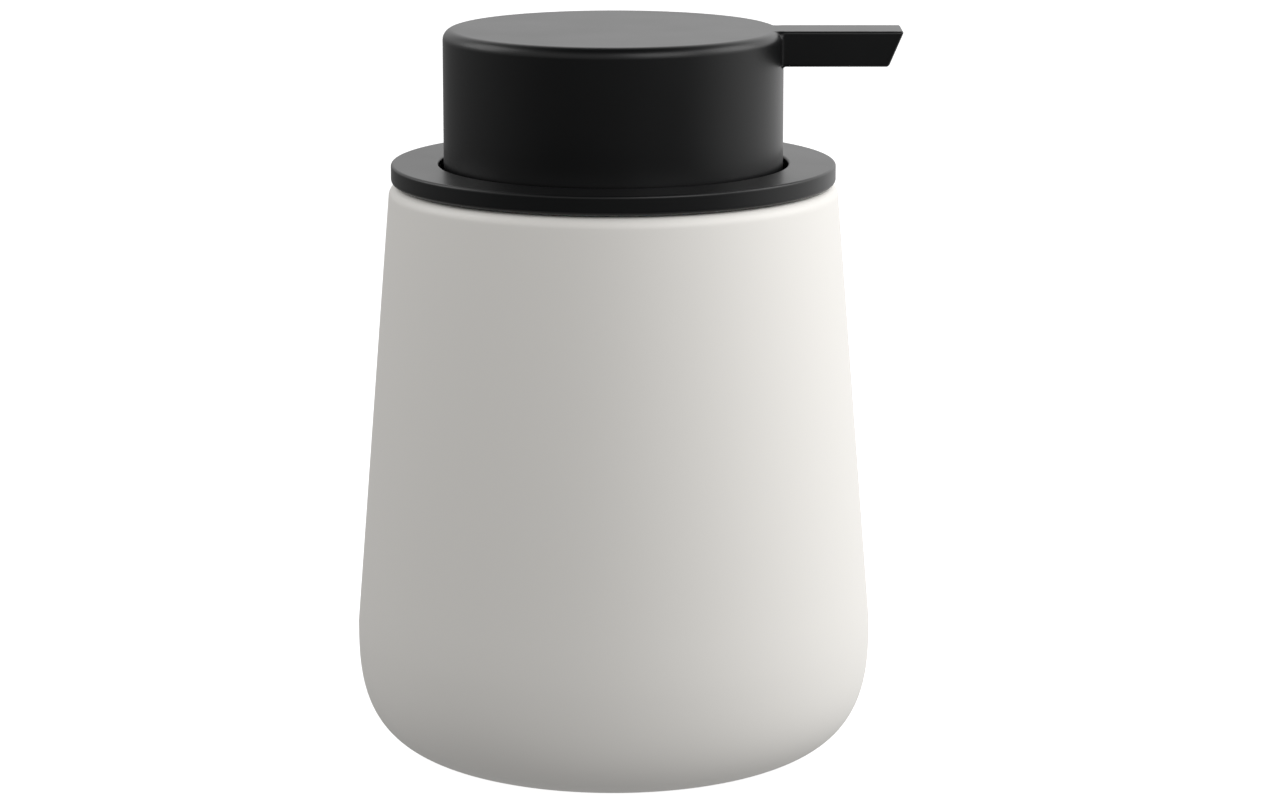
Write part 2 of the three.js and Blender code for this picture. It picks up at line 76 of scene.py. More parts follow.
# Fineness of the surfaces
SUPPORT = 0.06 * MM  # a point this far inside each end of a straight keeps smooth shading flat there
SAME = 1e-7  # lengths nearer than this are the same
CRISP = math.radians(32)  # edges sharper than this stay crisp
BROAD_SIDES = 192  # round the bottle, collar, well, seal and closure
PUMP_SIDES = 96
SMALL_SIDES = 48
ROUND_STEPS = 6
RIM_STEPS = 8  # round the bottle's and the cap's upper edges
BELLY_STEPS, INNER_STEPS = 44, 24  # up the squarish foot, outside and inside
WALL_LEVELS = 14
NECK_LEVELS, CLOSURE_LEVELS = 44, 60  # up the threads
WIRE_SIDES = 14
COIL_STEPS = 48  # along one turn of the spring
DISC_STEPS = 220  # round the cap's disc, from one root of the spout to the other
ROOT_STEPS = 12  # round each soft corner where the spout leaves the cap


# ------------------------------------------------------------------ places, from the frame
class Span:
    """Radius and lowest and highest level of a CAD node that stands on the vertical axis."""

    def __init__(self, node):
        low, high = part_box(node)
        self.radius = high.y
        self.low = low.z
        self.high = high.z
        self.reach = high.x


# ------------------------------------------------------------------ surfaces
def rounded(corners, closed=True, steps=ROUND_STEPS):
    """Profile through corners (r, z, round). An arc of the given round, tangent to both sides, takes each
    corner's place, and every straight gets a support point just inside each of its ends."""
    points = np.array(corners, float)
    count = len(points)
    runs = []
    for i in range(count):
        here, bend = points[i, :2], points[i, 2]
        if bend == 0 or (not closed and i in (0, count - 1)):
            runs.append(here[None])
            continue
        back = points[i - 1, :2] - here
        ahead = points[(i + 1) % count, :2] - here
        back, ahead = back / np.linalg.norm(back), ahead / np.linalg.norm(ahead)
        half = math.acos(np.clip(back @ ahead, -1, 1)) / 2
        middle = (back + ahead) / np.linalg.norm(back + ahead)
        centre = here + middle * bend / math.sin(half)
        start = here + back * bend / math.tan(half) - centre
        turn = math.copysign(math.pi - 2 * half, back[1] * ahead[0] - back[0] * ahead[1])
        a = math.atan2(start[1], start[0]) + turn * np.linspace(0, 1, steps + 1)
        runs.append(centre + bend * np.stack([np.cos(a), np.sin(a)], 1))
    profile = []
    for i, run in enumerate(runs):
        profile.append(run)
        if not closed and i == count - 1:
            break
        start, end = run[-1], runs[(i + 1) % count][0]
        length = np.linalg.norm(end - start)
        if length > 4 * SUPPORT:
            step = (end - start) / length * SUPPORT
            profile.append(np.stack([start + step, end - step]))
    return np.concatenate(profile)


def stepped(profile, radius, count):
    """The closed profile with count even levels put into its longest upright straight at the given radius."""
    ahead = np.roll(profile, -1, axis=0)
    upright = (np.abs(profile[:, 0] - radius) < SAME) & (np.abs(ahead[:, 0] - radius) < SAME)
    i = int(np.argmax(np.abs(ahead[:, 1] - profile[:, 1]) * upright))
    share = np.linspace(0, 1, count + 2)[1:-1, None]
    return np.concatenate([profile[:i + 1], profile[i] + (ahead[i] - profile[i]) * share, profile[i + 1:]])


def grid_faces(rows, columns, wrap_rows):
    """Quads between neighbouring rows and columns of a grid of points whose columns close on themselves."""
    i = np.arange(rows if wrap_rows else rows - 1)[:, None]
    j = np.arange(columns)[None]
    up, across = (i + 1) % rows, (j + 1) % columns
    quads = [i * columns + j, i * columns + across, up * columns + across, up * columns + j]
    return np.stack(quads, -1).reshape(-1, 4)


def turned(profile, sides, closed=True, widen=None, lift=None):
    """Surface of revolution: x = r cos a, y = r sin a. widen(r, z, a) and lift(r, z, a) are added to r and z.
    An open profile starts and ends on the axis, where it closes on single points."""
    a = np.linspace(0, 2 * np.pi, sides, endpoint=False)[None]
    ring = profile if closed else profile[1:-1]
    r = np.broadcast_to(ring[:, :1], (len(ring), sides))
    z = np.broadcast_to(ring[:, 1:], (len(ring), sides))
    wide = r + widen(r, z, a) if widen else r
    high = z + lift(r, z, a) if lift else z
    points = np.stack([wide * np.cos(a), wide * np.sin(a), high], -1).reshape(-1, 3)
    faces = grid_faces(len(ring), sides, closed).tolist()
    if closed:
        return points, faces
    j = np.arange(sides)
    k = (j + 1) % sides
    first, last = len(points), len(points) + 1
    top = (len(ring) - 1) * sides
    poles = np.array([[0, 0, profile[0, 1]], [0, 0, profile[-1, 1]]])
    faces += np.stack([np.full(sides, first), k, j], 1).tolist()
    faces += np.stack([np.full(sides, last), top + j, top + k], 1).tolist()
    return np.concatenate([points, poles]), faces


def carried(path, across, outward, section, radius):
    """Tube: each point is the path's point plus radius times (cos b across + sin b outward), b round the
    section. radius may change along the path. A fan closes each end."""
    b = np.linspace(0, 2 * np.pi, section, endpoint=False)
    reach = np.broadcast_to(radius, len(path))[:, None, None]
    points = path[:, None] + reach * (
        np.cos(b)[None, :, None] * across[:, None] + np.sin(b)[None, :, None] * outward[:, None]
    )
    faces = grid_faces(len(path), section, False)[:, ::-1].tolist()
    start, end = list(range(section)), [(len(path) - 1) * section + k for k in range(section)][::-1]
    return points.reshape(-1, 3), faces + [start, end]


def helix(radius, height, turns, steps):
    """Points of a helix about the vertical axis whose height is height(t), and its two cross directions:
    upright to the tangent, and radially outwards."""
    t = np.linspace(0, 1, steps)
    a = 2 * np.pi * turns * t
    outward = np.stack([np.cos(a), np.sin(a), np.zeros(steps)], 1)
    path = outward * radius
    path[:, 2] = height(t)
    tangent = np.gradient(path, axis=0)
    tangent /= np.linalg.norm(tangent, axis=1)[:, None]
    return path, np.cross(tangent, outward), outward


def block(low, high):
    """Closed box between two corners."""
    pick = np.array([[0, 0, 0], [1, 0, 0], [1, 1, 0], [0, 1, 0], [0, 0, 1], [1, 0, 1], [1, 1, 1], [0, 1, 1]])
    points = np.where(pick, np.array(high, float), np.array(low, float))
    faces = [[3, 2, 1, 0], [4, 5, 6, 7], [0, 1, 5, 4], [1, 2, 6, 5], [2, 3, 7, 6], [3, 0, 4, 7]]
    return points, faces


def along_x(shell, z):
    """Lays a shell that was turned about the vertical axis along +X, with its axis at height z."""
    points, faces = shell
    laid = np.stack([points[:, 2], points[:, 1], -points[:, 0] + z], 1)
    return laid, faces


def spun(shell, angle):
    """Turns a shell about the vertical axis."""
    points, faces = shell
    c, s = math.cos(angle), math.sin(angle)
    x, y, z = points.T
    return np.stack([c * x - s * y, s * x + c * y, z], 1), faces


def shaft(radius, low, high, sides):
    """Closed round bar on the vertical axis."""
    return turned(np.array([[0, low], [radius, low], [radius, high], [0, high]]), sides, closed=False)


# ------------------------------------------------------------------ meshes
def mesh_of(name, shells):
    """One mesh from several shells of points and faces."""
    points, faces, count = [], [], 0
    for shell_points, shell_faces in shells:
        points.append(shell_points)
        faces += [[count + k for k in face] for face in shell_faces]
        count += len(shell_points)
    mesh = bpy.data.meshes.new(name)
    mesh.from_pydata(np.concatenate(points), [], faces)
    return mesh


def carved(mesh, add=(), cut=()):
    """The mesh with closed shells joined on and then others taken away."""
    work = bpy.data.objects.new("work", mesh)
    bpy.context.scene.collection.objects.link(work)
    tools = []
    for shells, operation in ((add, "UNION"), (cut, "DIFFERENCE")):
        for shell in shells:
            tool = bpy.data.objects.new("tool", mesh_of("tool", [shell]))
            bpy.context.scene.collection.objects.link(tool)
            modifier = work.modifiers.new("carve", "BOOLEAN")
            modifier.operation = operation
            modifier.solver = "EXACT"
            modifier.object = tool
            tools.append(tool)
    graph = bpy.context.evaluated_depsgraph_get()
    made = bpy.data.meshes.new_from_object(work.evaluated_get(graph))
    made.name = mesh.name
    for used in [work, *tools]:
        spent = used.data
        bpy.data.objects.remove(used)
        bpy.data.meshes.remove(spent)
    return made


def finish_piece(context, name, mesh, body, nodes, slot, *finishes):
    """Shades the mesh, gives it its finishes, and puts it on its body in the place of its CAD nodes. A finish
    is made once, under its function's name."""
    for finish in finishes:
        made = bpy.data.materials.get(finish.__name__)
        mesh.materials.append(made or finish(context.scene.dispenser_colors))
    mesh.shade_smooth()
    mesh.set_sharp_from_angle(angle=CRISP)
    mesh.update()
    piece = bpy.data.objects.new(name, mesh)
    bpy.context.scene.collection.objects.link(piece)
    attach(piece, body)
    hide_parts(*nodes)
    return piece


def turned_piece(context, name, corners, sides, body, nodes, slot, finish, steps=ROUND_STEPS):
    """A piece that is one ring turned from rounded corners."""
    mesh = mesh_of(name, [turned(rounded(corners, steps=steps), sides)])
    finish_piece(context, name, mesh, body, nodes, slot, finish)


# ------------------------------------------------------------------ shader expressions
class Value:
    """A shader socket that Python's arithmetic operators work on by adding Math nodes."""

    def __init__(self, shader, socket):
        self.shader = shader
        self.socket = socket

    def _math(self, operation, first, second):
        return self.shader.node("ShaderNodeMath", {"operation": operation}, {0: first, 1: second})

    def __add__(self, other):
        return self._math("ADD", self, other)

    def __radd__(self, other):
        return self._math("ADD", other, self)

    def __sub__(self, other):
        return self._math("SUBTRACT", self, other)

    def __rsub__(self, other):
        return self._math("SUBTRACT", other, self)

    def __mul__(self, other):
        return self._math("MULTIPLY", self, other)

    def __rmul__(self, other):
        return self._math("MULTIPLY", other, self)


class Nodes:
    """A node tree whose patterns follow one place: a texture coordinate."""

    def __init__(self, tree, coordinate):
        self.tree = tree
        self.place = self.node("ShaderNodeTexCoord", {}, {}, coordinate)

    def node(self, kind, settings, inputs, output=0):
        """Adds a node, sets its settings first and then its sockets, and returns one of its outputs."""
        made = self.tree.nodes.new(kind)
        for key, value in settings.items():
            setattr(made, key, value)
        for key, value in inputs.items():
            if isinstance(value, Value):
                self.tree.links.new(value.socket, made.inputs[key])
            else:
                made.inputs[key].default_value = value
        return Value(self, made.outputs[output])

    def noise(self, size, detail=2.0, stretch=None):
        """Noise from 0 to 1 with features of the given size, optionally stretched along an axis."""
        place = self.place
        if stretch:
            place = self.node("ShaderNodeVectorMath", {"operation": "MULTIPLY"}, {0: place, 1: stretch})
        inputs = {"Vector": place, "Scale": 1 / size, "Detail": detail}
        return self.node("ShaderNodeTexNoise", {}, inputs, "Fac")

    def window(self, value, low, high):
        """0 below low, 1 above high, smooth between."""
        settings = {"interpolation_type": "SMOOTHSTEP", "clamp": True}
        inputs = {"Value": value, "From Min": low, "From Max": high, "To Min": 0.0, "To Max": 1.0}
        return self.node("ShaderNodeMapRange", settings, inputs)

    def tint(self, share, first, second):
        """Mixes two colours by share. The node holds sockets of every type, so its colours go by number."""
        settings = {"data_type": "RGBA", "blend_type": "MIX"}
        color_a, color_b, color_out = 6, 7, 2
        inputs = {"Factor": share, color_a: first, color_b: second}
        return self.node("ShaderNodeMix", settings, inputs, color_out)

    def bump(self, height, depth, strength=1.0, under=None):
        """Normal of a relief whose height runs from 0 to 1 over the given depth."""
        inputs = {"Height": height, "Distance": depth, "Strength": strength}
        if under:
            inputs["Normal"] = under
        return self.node("ShaderNodeBump", {}, inputs)

    def axes(self):
        """x, y and z of the place."""
        return [self.node("ShaderNodeSeparateXYZ", {}, {0: self.place}, axis) for axis in range(3)]


class Shader(Nodes):
    """A material with one Principled surface, whose constants are set on its own sockets."""

    def __init__(self, name, **constants):
        self.material = bpy.data.materials.new(name)
        self.material.use_nodes = True
        super().__init__(self.material.node_tree, "Object")
        self.surface = self.tree.nodes["Principled BSDF"]
        for socket, value in constants.items():
            self.surface.inputs[socket.replace("_", " ")].default_value = value

    def feed(self, **links):
        """Links values to the surface's sockets."""
        for key, value in links.items():
            self.tree.links.new(value.socket, self.surface.inputs[key.replace("_", " ")])
        return self.material


def rgba(color):
    return (*color, 1.0)


def shade(color, share):
    """The colour made darker or lighter by a share."""
    return rgba(tuple(min(1.0, part * share) for part in color))


# ------------------------------------------------------------------ finishes
def soft_touch_ceramic(colors):
    """Matte warm white coating: cloudy tone, a fine orange-peel skin and a bare biscuit ring at the foot."""
    s = Shader("soft_touch_ceramic", Specular_IOR_Level=0.42, Sheen_Weight=0.12, Sheen_Roughness=0.4)
    cloud = s.noise(38 * MM, 3)
    speck = s.noise(0.55 * MM, 1)
    pin = s.window(s.noise(1.9 * MM, 0), 0.73, 0.79)
    coat = s.tint(cloud, shade(colors.ceramic, 0.985), shade(colors.ceramic, 1.012))
    coat = s.tint(pin * 0.22, coat, shade(colors.ceramic, 0.86))
    height = s.axes()[2]
    bare = 1 - s.window(height, 0.9 * MM, 1.5 * MM)
    color = s.tint(bare, coat, rgba(colors.biscuit))
    peel = s.noise(2.6 * MM, 2)
    normal = s.bump(peel, 0.035 * MM, 0.35)
    normal = s.bump(speck, 0.012 * MM, 0.5, normal)
    rough = 0.5 + cloud * 0.07 + speck * 0.06 + bare * 0.15
    return s.feed(Base_Color=color, Roughness=rough, Normal=normal)


def inner_glaze(colors):
    """Glossy white glaze inside the bottle, slightly pooled and uneven."""
    s = Shader("inner_glaze", Specular_IOR_Level=0.55)
    pool = s.noise(9 * MM, 2)
    color = s.tint(pool, shade(colors.ceramic, 0.97), shade(colors.ceramic, 1.04))
    return s.feed(Base_Color=color, Roughness=0.1 + pool * 0.08, Normal=s.bump(pool, 0.08 * MM, 0.3))


def satin_black(colors):
    """Moulded black plastic with a fine spark-eroded grain, a little rubbed where it varies."""
    s = Shader("satin_black", Specular_IOR_Level=0.32)
    grain = s.noise(0.16 * MM, 1)
    drift = s.noise(14 * MM, 2)
    color = s.tint(drift, shade(colors.plastic, 0.8), shade(colors.plastic, 1.2))
    rough = 0.30 + drift * 0.05 + grain * 0.05
    return s.feed(Base_Color=color, Roughness=rough, Normal=s.bump(grain, 0.006 * MM, 0.45))


def milky_plastic(colors):
    """Natural translucent polypropylene with faint flow lines."""
    s = Shader("milky_plastic", Transmission_Weight=0.55, IOR=1.45, Specular_IOR_Level=0.45)
    flow = s.noise(3 * MM, 3, (1.0, 1.0, 0.15))
    color = s.tint(flow, shade(colors.milky, 0.95), shade(colors.milky, 1.03))
    return s.feed(Base_Color=color, Roughness=0.22 + flow * 0.1, Normal=s.bump(flow, 0.03 * MM, 0.25))


def white_plastic(colors):
    """Smooth white moulding with faint tool marks."""
    s = Shader("white_plastic", Specular_IOR_Level=0.45)
    mark = s.noise(1.2 * MM, 2, (1.0, 1.0, 6.0))
    color = s.tint(mark, shade(colors.white, 0.95), shade(colors.white, 1.02))
    return s.feed(Base_Color=color, Roughness=0.32 + mark * 0.12, Normal=s.bump(mark, 0.01 * MM, 0.3))


def milky_silicone(colors):
    """Soft translucent silicone with a dusty skin."""
    s = Shader("milky_silicone", Subsurface_Weight=0.25, Subsurface_Scale=1.2 * MM, Specular_IOR_Level=0.35)
    dust = s.noise(1.6 * MM, 3)
    color = s.tint(dust, shade(colors.silicone, 0.93), shade(colors.silicone, 1.05))
    return s.feed(Base_Color=color, Roughness=0.42 + dust * 0.18, Normal=s.bump(dust, 0.02 * MM, 0.3))


def foam_rubber(colors):
    """Closed-cell pad: dark, dry and pitted. Its colour is darker down in each pit, which is painted shade
    that follows the relief.
    """
    s = Shader("foam_rubber", Specular_IOR_Level=0.25)
    inputs = {"Vector": s.place, "Scale": 1 / (0.45 * MM)}
    cell = s.node("ShaderNodeTexVoronoi", {"feature": "F1"}, inputs, "Distance")
    drift = s.noise(6 * MM, 2)
    # painted shade: the colour darkens towards each cell's middle, where the bump sinks into a pit
    color = s.tint(cell, shade(colors.pad, 0.6), shade(colors.pad, 1.3))
    return s.feed(Base_Color=color, Roughness=0.78 + drift * 0.12, Normal=s.bump(cell, 0.05 * MM, 0.6))


def bright_steel(colors):
    """Polished stainless steel with fine drawing marks."""
    s = Shader("bright_steel", Metallic=1.0)
    mark = s.noise(0.3 * MM, 2, (1.0, 1.0, 4.0))
    color = s.tint(mark, shade(colors.steel, 0.9), shade(colors.steel, 1.05))
    return s.feed(Base_Color=color, Roughness=0.14 + mark * 0.14, Normal=s.bump(mark, 0.004 * MM, 0.4))


# ------------------------------------------------------------------ settings
def size_prop(name, description, value):
    return bpy.props.FloatProperty(
        name=name, description=description, default=value * MM, unit="LENGTH", precision=5
    )


def power_prop(name, description, value):
    return bpy.props.FloatProperty(name=name, description=description, default=value, min=0, unit="POWER")


def share_prop(name, description, value):
    return bpy.props.FloatProperty(name=name, description=description, default=value, min=0)


def color_prop(name, description, value):
    return bpy.props.FloatVectorProperty(
        name=name, description=description, default=value, subtype="COLOR", size=3, min=0, max=1
    )


class DispenserColors(bpy.types.PropertyGroup):
    """Colours of the finishes."""

    ceramic: color_prop("Ceramic", "Matte warm white coating of the bottle", (0.7543, 0.6818, 0.6104))
    biscuit: color_prop("Biscuit", "Bare clay at the foot", (0.62, 0.56, 0.48))
    plastic: color_prop("Black plastic", "Cap, collar, well and closure", (0.0032, 0.0034, 0.0036))
    milky: color_prop("Milky plastic", "Pump housing, dip tube and piston", (0.86, 0.88, 0.87))
    white: color_prop("White plastic", "Stem, guide, cage, rod and nozzle core", (0.82, 0.82, 0.8))
    silicone: color_prop("Silicone", "Mouth seal and gasket", (0.62, 0.65, 0.64))
    pad: color_prop("Foot pad", "Anti-slip pad", (0.03, 0.03, 0.031))
    steel: color_prop("Steel", "Spring and valve balls", (0.62, 0.62, 0.61))
    floor: color_prop("Floor", "Studio floor and backdrop", (0.5, 0.5, 0.5))


class BottleSizes(bpy.types.PropertyGroup):
    """Sizes of the ceramic bottle and its pad."""

    foot_radius: size_prop("Foot radius", "Where the foot's flat ring ends", 21.0)
    belly_height: size_prop("Belly height", "Widest level above the foot", 20.3)
    rim_radius: size_prop("Rim radius", "Outside of the mouth", 34.5)
    rim_round: size_prop("Rim round", "Round of the shoulder under the collar", 1.8)
    lip_round: size_prop("Lip round", "Round of the mouth's inner edge", 0.6)
    wall: size_prop("Wall", "Thickness of the ceramic", 4.0)
    throat_depth: size_prop("Throat depth", "Depth of the straight mouth", 15.0)
    floor: size_prop("Bottom thickness", "Thickness of the ceramic at the foot", 4.8)
    pad_gap: size_prop("Pad gap", "Gap round the pad in its recess", 0.4)
    pad_rest: size_prop("Pad bedding", "Gap over the pad", 0.1)
    belly_power: bpy.props.FloatProperty(
        name="Belly squareness", description="2 gives an ellipse, more is squarer", default=2.92, min=2, max=5
    )


class CapSizes(bpy.types.PropertyGroup):
    """Sizes of the pressed cap, its spout and the nozzle core."""

    wall: size_prop("Skirt wall", "Thickness of the cap's side", 1.8)
    top: size_prop("Top wall", "Thickness of the cap's top", 1.6)
    rim_round: size_prop("Rim round", "Round of the cap's upper edge", 1.6)
    foot_round: size_prop("Foot round", "Round of the cap's lower edge", 0.3)
    spout_width: size_prop("Spout width", "Width of the flat spout", 9.0)
    spout_height: size_prop("Spout height", "Height of the flat spout", 5.4)
    spout_edge: size_prop("Spout edge", "Round of the spout's long edges", 0.4)
    spout_slant: size_prop("Spout slant", "How far the tip's lower edge is cut back", 2.3)
    tip_round: size_prop("Tip round", "Round of the tip's upright corners", 0.55)
    root_round: size_prop("Root round", "Soft corner where the spout leaves the cap", 0.5)
    mouth: size_prop("Mouth radius", "Opening in the spout's tip", 1.0)


class PumpSizes(bpy.types.PropertyGroup):
    """Sizes of the pump's hidden pieces."""

    collar_opening: size_prop("Collar opening", "Radius of the opening that the cap sinks into", 26.8)
    collar_skin: size_prop("Collar skin", "Thickness of the collar's disc", 1.05)
    collar_lip: size_prop("Collar lip", "Thickness of its turned-down edge", 0.85)
    well_wall: size_prop("Well wall", "Thickness of the cup", 1.5)
    well_floor: size_prop("Well floor", "Thickness of the cup's floor", 1.8)
    barrel_bore: size_prop("Barrel bore", "Radius of the pump's bore", 6.0)
    barrel_wall: size_prop("Barrel wall", "Thickness of the barrel", 1.2)
    stem_bore: size_prop("Stem bore", "Radius of the channel in the stem", 1.5)
    spring_wire: size_prop("Spring wire", "Radius of the spring's wire", 0.45)
    thread_pitch: size_prop("Thread pitch", "Rise of the closure's thread in one turn", 3.2)
    thread_height: size_prop("Thread height", "How far the thread stands out", 0.65)


# ------------------------------------------------------------------ pieces
def belly_curve(r0, z0, r1, z1, power, steps):
    """Squarish quarter round, flat at its start and upright at its end: the share across is
    sin(a) ** (2 / power) and the share up is 1 - cos(a) ** (2 / power)."""
    a = np.linspace(0, np.pi / 2, steps)
    across = np.sin(a) ** (2 / power)
    up = 1 - np.cos(a).clip(0) ** (2 / power)
    return np.stack([r0 + (r1 - r0) * across, z0 + (z1 - z0) * up], 1)


class DISPENSER_OT_bottle(bpy.types.Operator):
    """Ceramic bottle: matte outside with a squarish round at the foot, glazed inside"""

    bl_idname = "dispenser.bottle"
    bl_label = "Bottle"

    def execute(self, context):
        size = context.scene.dispenser_bottle
        span, pad = Span("bottle"), Span("foot_pad")
        belly = span.low + size.belly_height
        recess = pad.radius + size.pad_gap
        recess_top = pad.high + size.pad_rest
        shoulder = span.high - size.rim_round
        throat = size.rim_radius - size.wall
        throat_low = span.high - size.throat_depth
        knee = throat_low - 4 * MM
        inner_floor = span.low + size.floor

        def side(z):
            return span.radius - (span.radius - size.rim_radius) * (z - belly) / (shoulder - belly)

        wall_levels = np.linspace(belly, shoulder, WALL_LEVELS)[1:-1]
        a = np.linspace(0, np.pi / 2, RIM_STEPS + 2)
        rim = np.stack([size.rim_radius - size.rim_round + size.rim_round * np.cos(a),
                        shoulder + size.rim_round * np.sin(a)], 1)
        outside = np.concatenate([
            rounded([(0, recess_top, 0), (recess, recess_top, 0), (recess, span.low, 0.3 * MM),
                     (size.foot_radius, span.low, 0)], closed=False),
            belly_curve(size.foot_radius, span.low, span.radius, belly, size.belly_power, BELLY_STEPS)[1:],
            np.stack([side(wall_levels), wall_levels], 1),
            rim,
        ])
        b = np.linspace(np.pi / 2, np.pi, ROUND_STEPS)
        lip = np.stack([throat + size.lip_round + size.lip_round * np.cos(b),
                        span.high - size.lip_round + size.lip_round * np.sin(b)], 1)
        inside_floor = belly_curve(
            size.foot_radius, inner_floor, span.radius - size.wall, belly, size.belly_power, INNER_STEPS)
        inside = np.concatenate([
            lip,
            [[throat, throat_low + 0.5 * MM], [throat - 0.02 * MM, throat_low]],
            [[side(knee) - size.wall, knee]],
            inside_floor[::-1],
            [[0, inner_floor]],
        ])
        profile = np.concatenate([outside, inside])
        mesh = mesh_of("ceramic_bottle", [turned(profile, BROAD_SIDES, closed=False)])
        finish_piece(context, "ceramic_bottle", mesh, "bottle", ["bottle"], "soft_touch_ceramic",
                     soft_touch_ceramic, inner_glaze)
        rows = np.arange(len(mesh.polygons)) // BROAD_SIDES
        glazed = (rows >= len(outside) + len(lip) - 2) & (rows < len(outside) + len(inside) - 3)
        glazed[-BROAD_SIDES:] = True
        mesh.polygons.foreach_set("material_index", glazed.astype(np.int32))
        return {"FINISHED"}


class DISPENSER_OT_foot_pad(bpy.types.Operator):
    """Anti-slip pad with shallow rings in its underside"""

    bl_idname = "dispenser.foot_pad"
    bl_label = "Foot pad"

    def execute(self, context):
        span = Span("foot_pad")
        groove, depth = 0.5 * MM, 0.25 * MM
        corners = [(0, span.low, 0)]
        for share in (0.3, 0.52, 0.74):
            r = span.radius * share
            corners += [(r, span.low, 0.1 * MM), (r + groove / 4, span.low + depth, 0.05 * MM),
                        (r + groove, span.low + depth, 0.05 * MM), (r + groove * 1.25, span.low, 0.1 * MM)]
        corners += [(span.radius, span.low, 0.3 * MM), (span.radius, span.high, 0.15 * MM), (0, span.high, 0)]
        profile = rounded(corners, closed=False, steps=4)
        mesh = mesh_of("anti_slip_pad", [turned(profile, PUMP_SIDES, closed=False)])
        finish_piece(context, "anti_slip_pad", mesh, "bottle", ["foot_pad"], "pad_rubber", foam_rubber)
        return {"FINISHED"}


class DISPENSER_OT_mouth_seal(bpy.types.Operator):
    """Silicone ring: a flange on the rim and a sleeve with three soft lips inside the mouth"""

    bl_idname = "dispenser.mouth_seal"
    bl_label = "Mouth seal"

    def execute(self, context):
        span, size = Span("mouth_seal"), context.scene.dispenser_pump
        flange = 0.85 * MM
        inner = size.collar_opening + EASY_FIT + size.well_wall + PUSH_FIT
        sleeve, tip = inner + 0.7 * MM, inner + 1.35 * MM
        under = span.high - flange
        pitch = 2.5 * MM
        corners = [(inner, span.low, 0.15 * MM), (sleeve, span.low, 0.15 * MM)]
        for k in range(3):
            z = span.low + pitch * (k + 0.2)
            corners += [(sleeve, z, 0.1 * MM), (tip, z + 0.75 * MM, 0.16 * MM),
                        (tip, z + 1.1 * MM, 0.16 * MM), (sleeve, z + 1.1 * MM, 0.08 * MM)]
        corners += [(sleeve, under, 0.15 * MM), (span.radius, under, 0.2 * MM),
                    (span.radius, span.high, 0.2 * MM), (inner, span.high, 0.15 * MM)]
        turned_piece(context, "silicone_mouth_seal", corners, BROAD_SIDES, "pump_unit", ["mouth_seal"],
                     "silicone", milky_silicone, 4)
        return {"FINISHED"}


class DISPENSER_OT_collar(bpy.types.Operator):
    """Collar ring: a shallow satin disc with a turned-down edge and the opening that the cap sinks into"""

    bl_idname = "dispenser.collar"
    bl_label = "Collar ring"

    def execute(self, context):
        span, size = Span("collar_ring"), context.scene.dispenser_pump
        lip = span.radius - size.collar_lip
        skin = span.high - size.collar_skin
        corners = [
            (lip, span.low, 0.12 * MM), (span.radius, span.low, 0.6 * MM), (span.radius, span.high, 0.4 * MM),
            (size.collar_opening, span.high, 0.4 * MM), (size.collar_opening, skin, 0.1 * MM),
            (lip, skin, 0.1 * MM),
        ]
        turned_piece(context, "collar_disc", corners, BROAD_SIDES, "pump_unit", ["collar_ring"],
                     "black_plastic", satin_black)
        return {"FINISHED"}


def thread_ridge(z, a, start, size):
    """Ridge of a one-start thread: the height falls off as a rounded wave with the distance from the
    helix z = start + pitch (a / 2 pi + n), and fades in and out over the thread's first and last stretch."""
    pitch = size.thread_pitch
    turn = (z - start) / pitch
    whole = np.round(turn - a / (2 * np.pi))
    off = np.abs(turn - a / (2 * np.pi) - whole) * pitch
    along = whole + a / (2 * np.pi)
    fade = np.clip(np.minimum(along, THREAD_TURNS - along) * 4, 0, 1)
    wave = np.cos(np.clip(off / (THREAD_WIDTH * pitch / 2), 0, 1) * np.pi / 2)
    return size.thread_height * fade * wave ** THREAD_CREST


class DISPENSER_OT_pump_well(bpy.types.Operator):
    """The cup under the collar, with the threaded neck that carries the pump"""

    bl_idname = "dispenser.pump_well"
    bl_label = "Pump well"

    def execute(self, context):
        span, size = Span("pump_well"), context.scene.dispenser_pump
        bore = size.barrel_bore + size.barrel_wall + EASY_FIT
        inner = size.collar_opening + EASY_FIT
        outer = inner + size.well_wall
        floor = span.low + size.well_floor
        neck_top = Span("neck_gasket").low - BED
        flange = span.high - 1.05 * MM
        thread_low = neck_top - NECK_THREAD
        corners = [
            (bore, span.low, 0.2 * MM), (outer, span.low, 0.5 * MM), (outer, flange, 0.3 * MM),
            (span.radius, flange, 0.15 * MM), (span.radius, span.high, 0.15 * MM),
            (inner, span.high, 0.25 * MM), (inner, floor, 0.6 * MM), (NECK, floor, 0.35 * MM),
            (NECK, neck_top, 0.25 * MM), (bore, neck_top, 0.25 * MM),
        ]
        profile = stepped(rounded(corners, steps=5), NECK, NECK_LEVELS)

        def ridge(r, z, a):
            on_neck = (np.abs(r - NECK) < SAME) & (z < neck_top - 0.3 * MM) & (z > floor + 0.5 * MM)
            return np.where(on_neck, thread_ridge(z, a, thread_low, size), 0)

        mesh = mesh_of("pump_well_cup", [turned(profile, BROAD_SIDES, widen=ridge)])
        finish_piece(context, "pump_well_cup", mesh, "pump_unit", ["pump_well"], "black_plastic", satin_black)
        return {"FINISHED"}


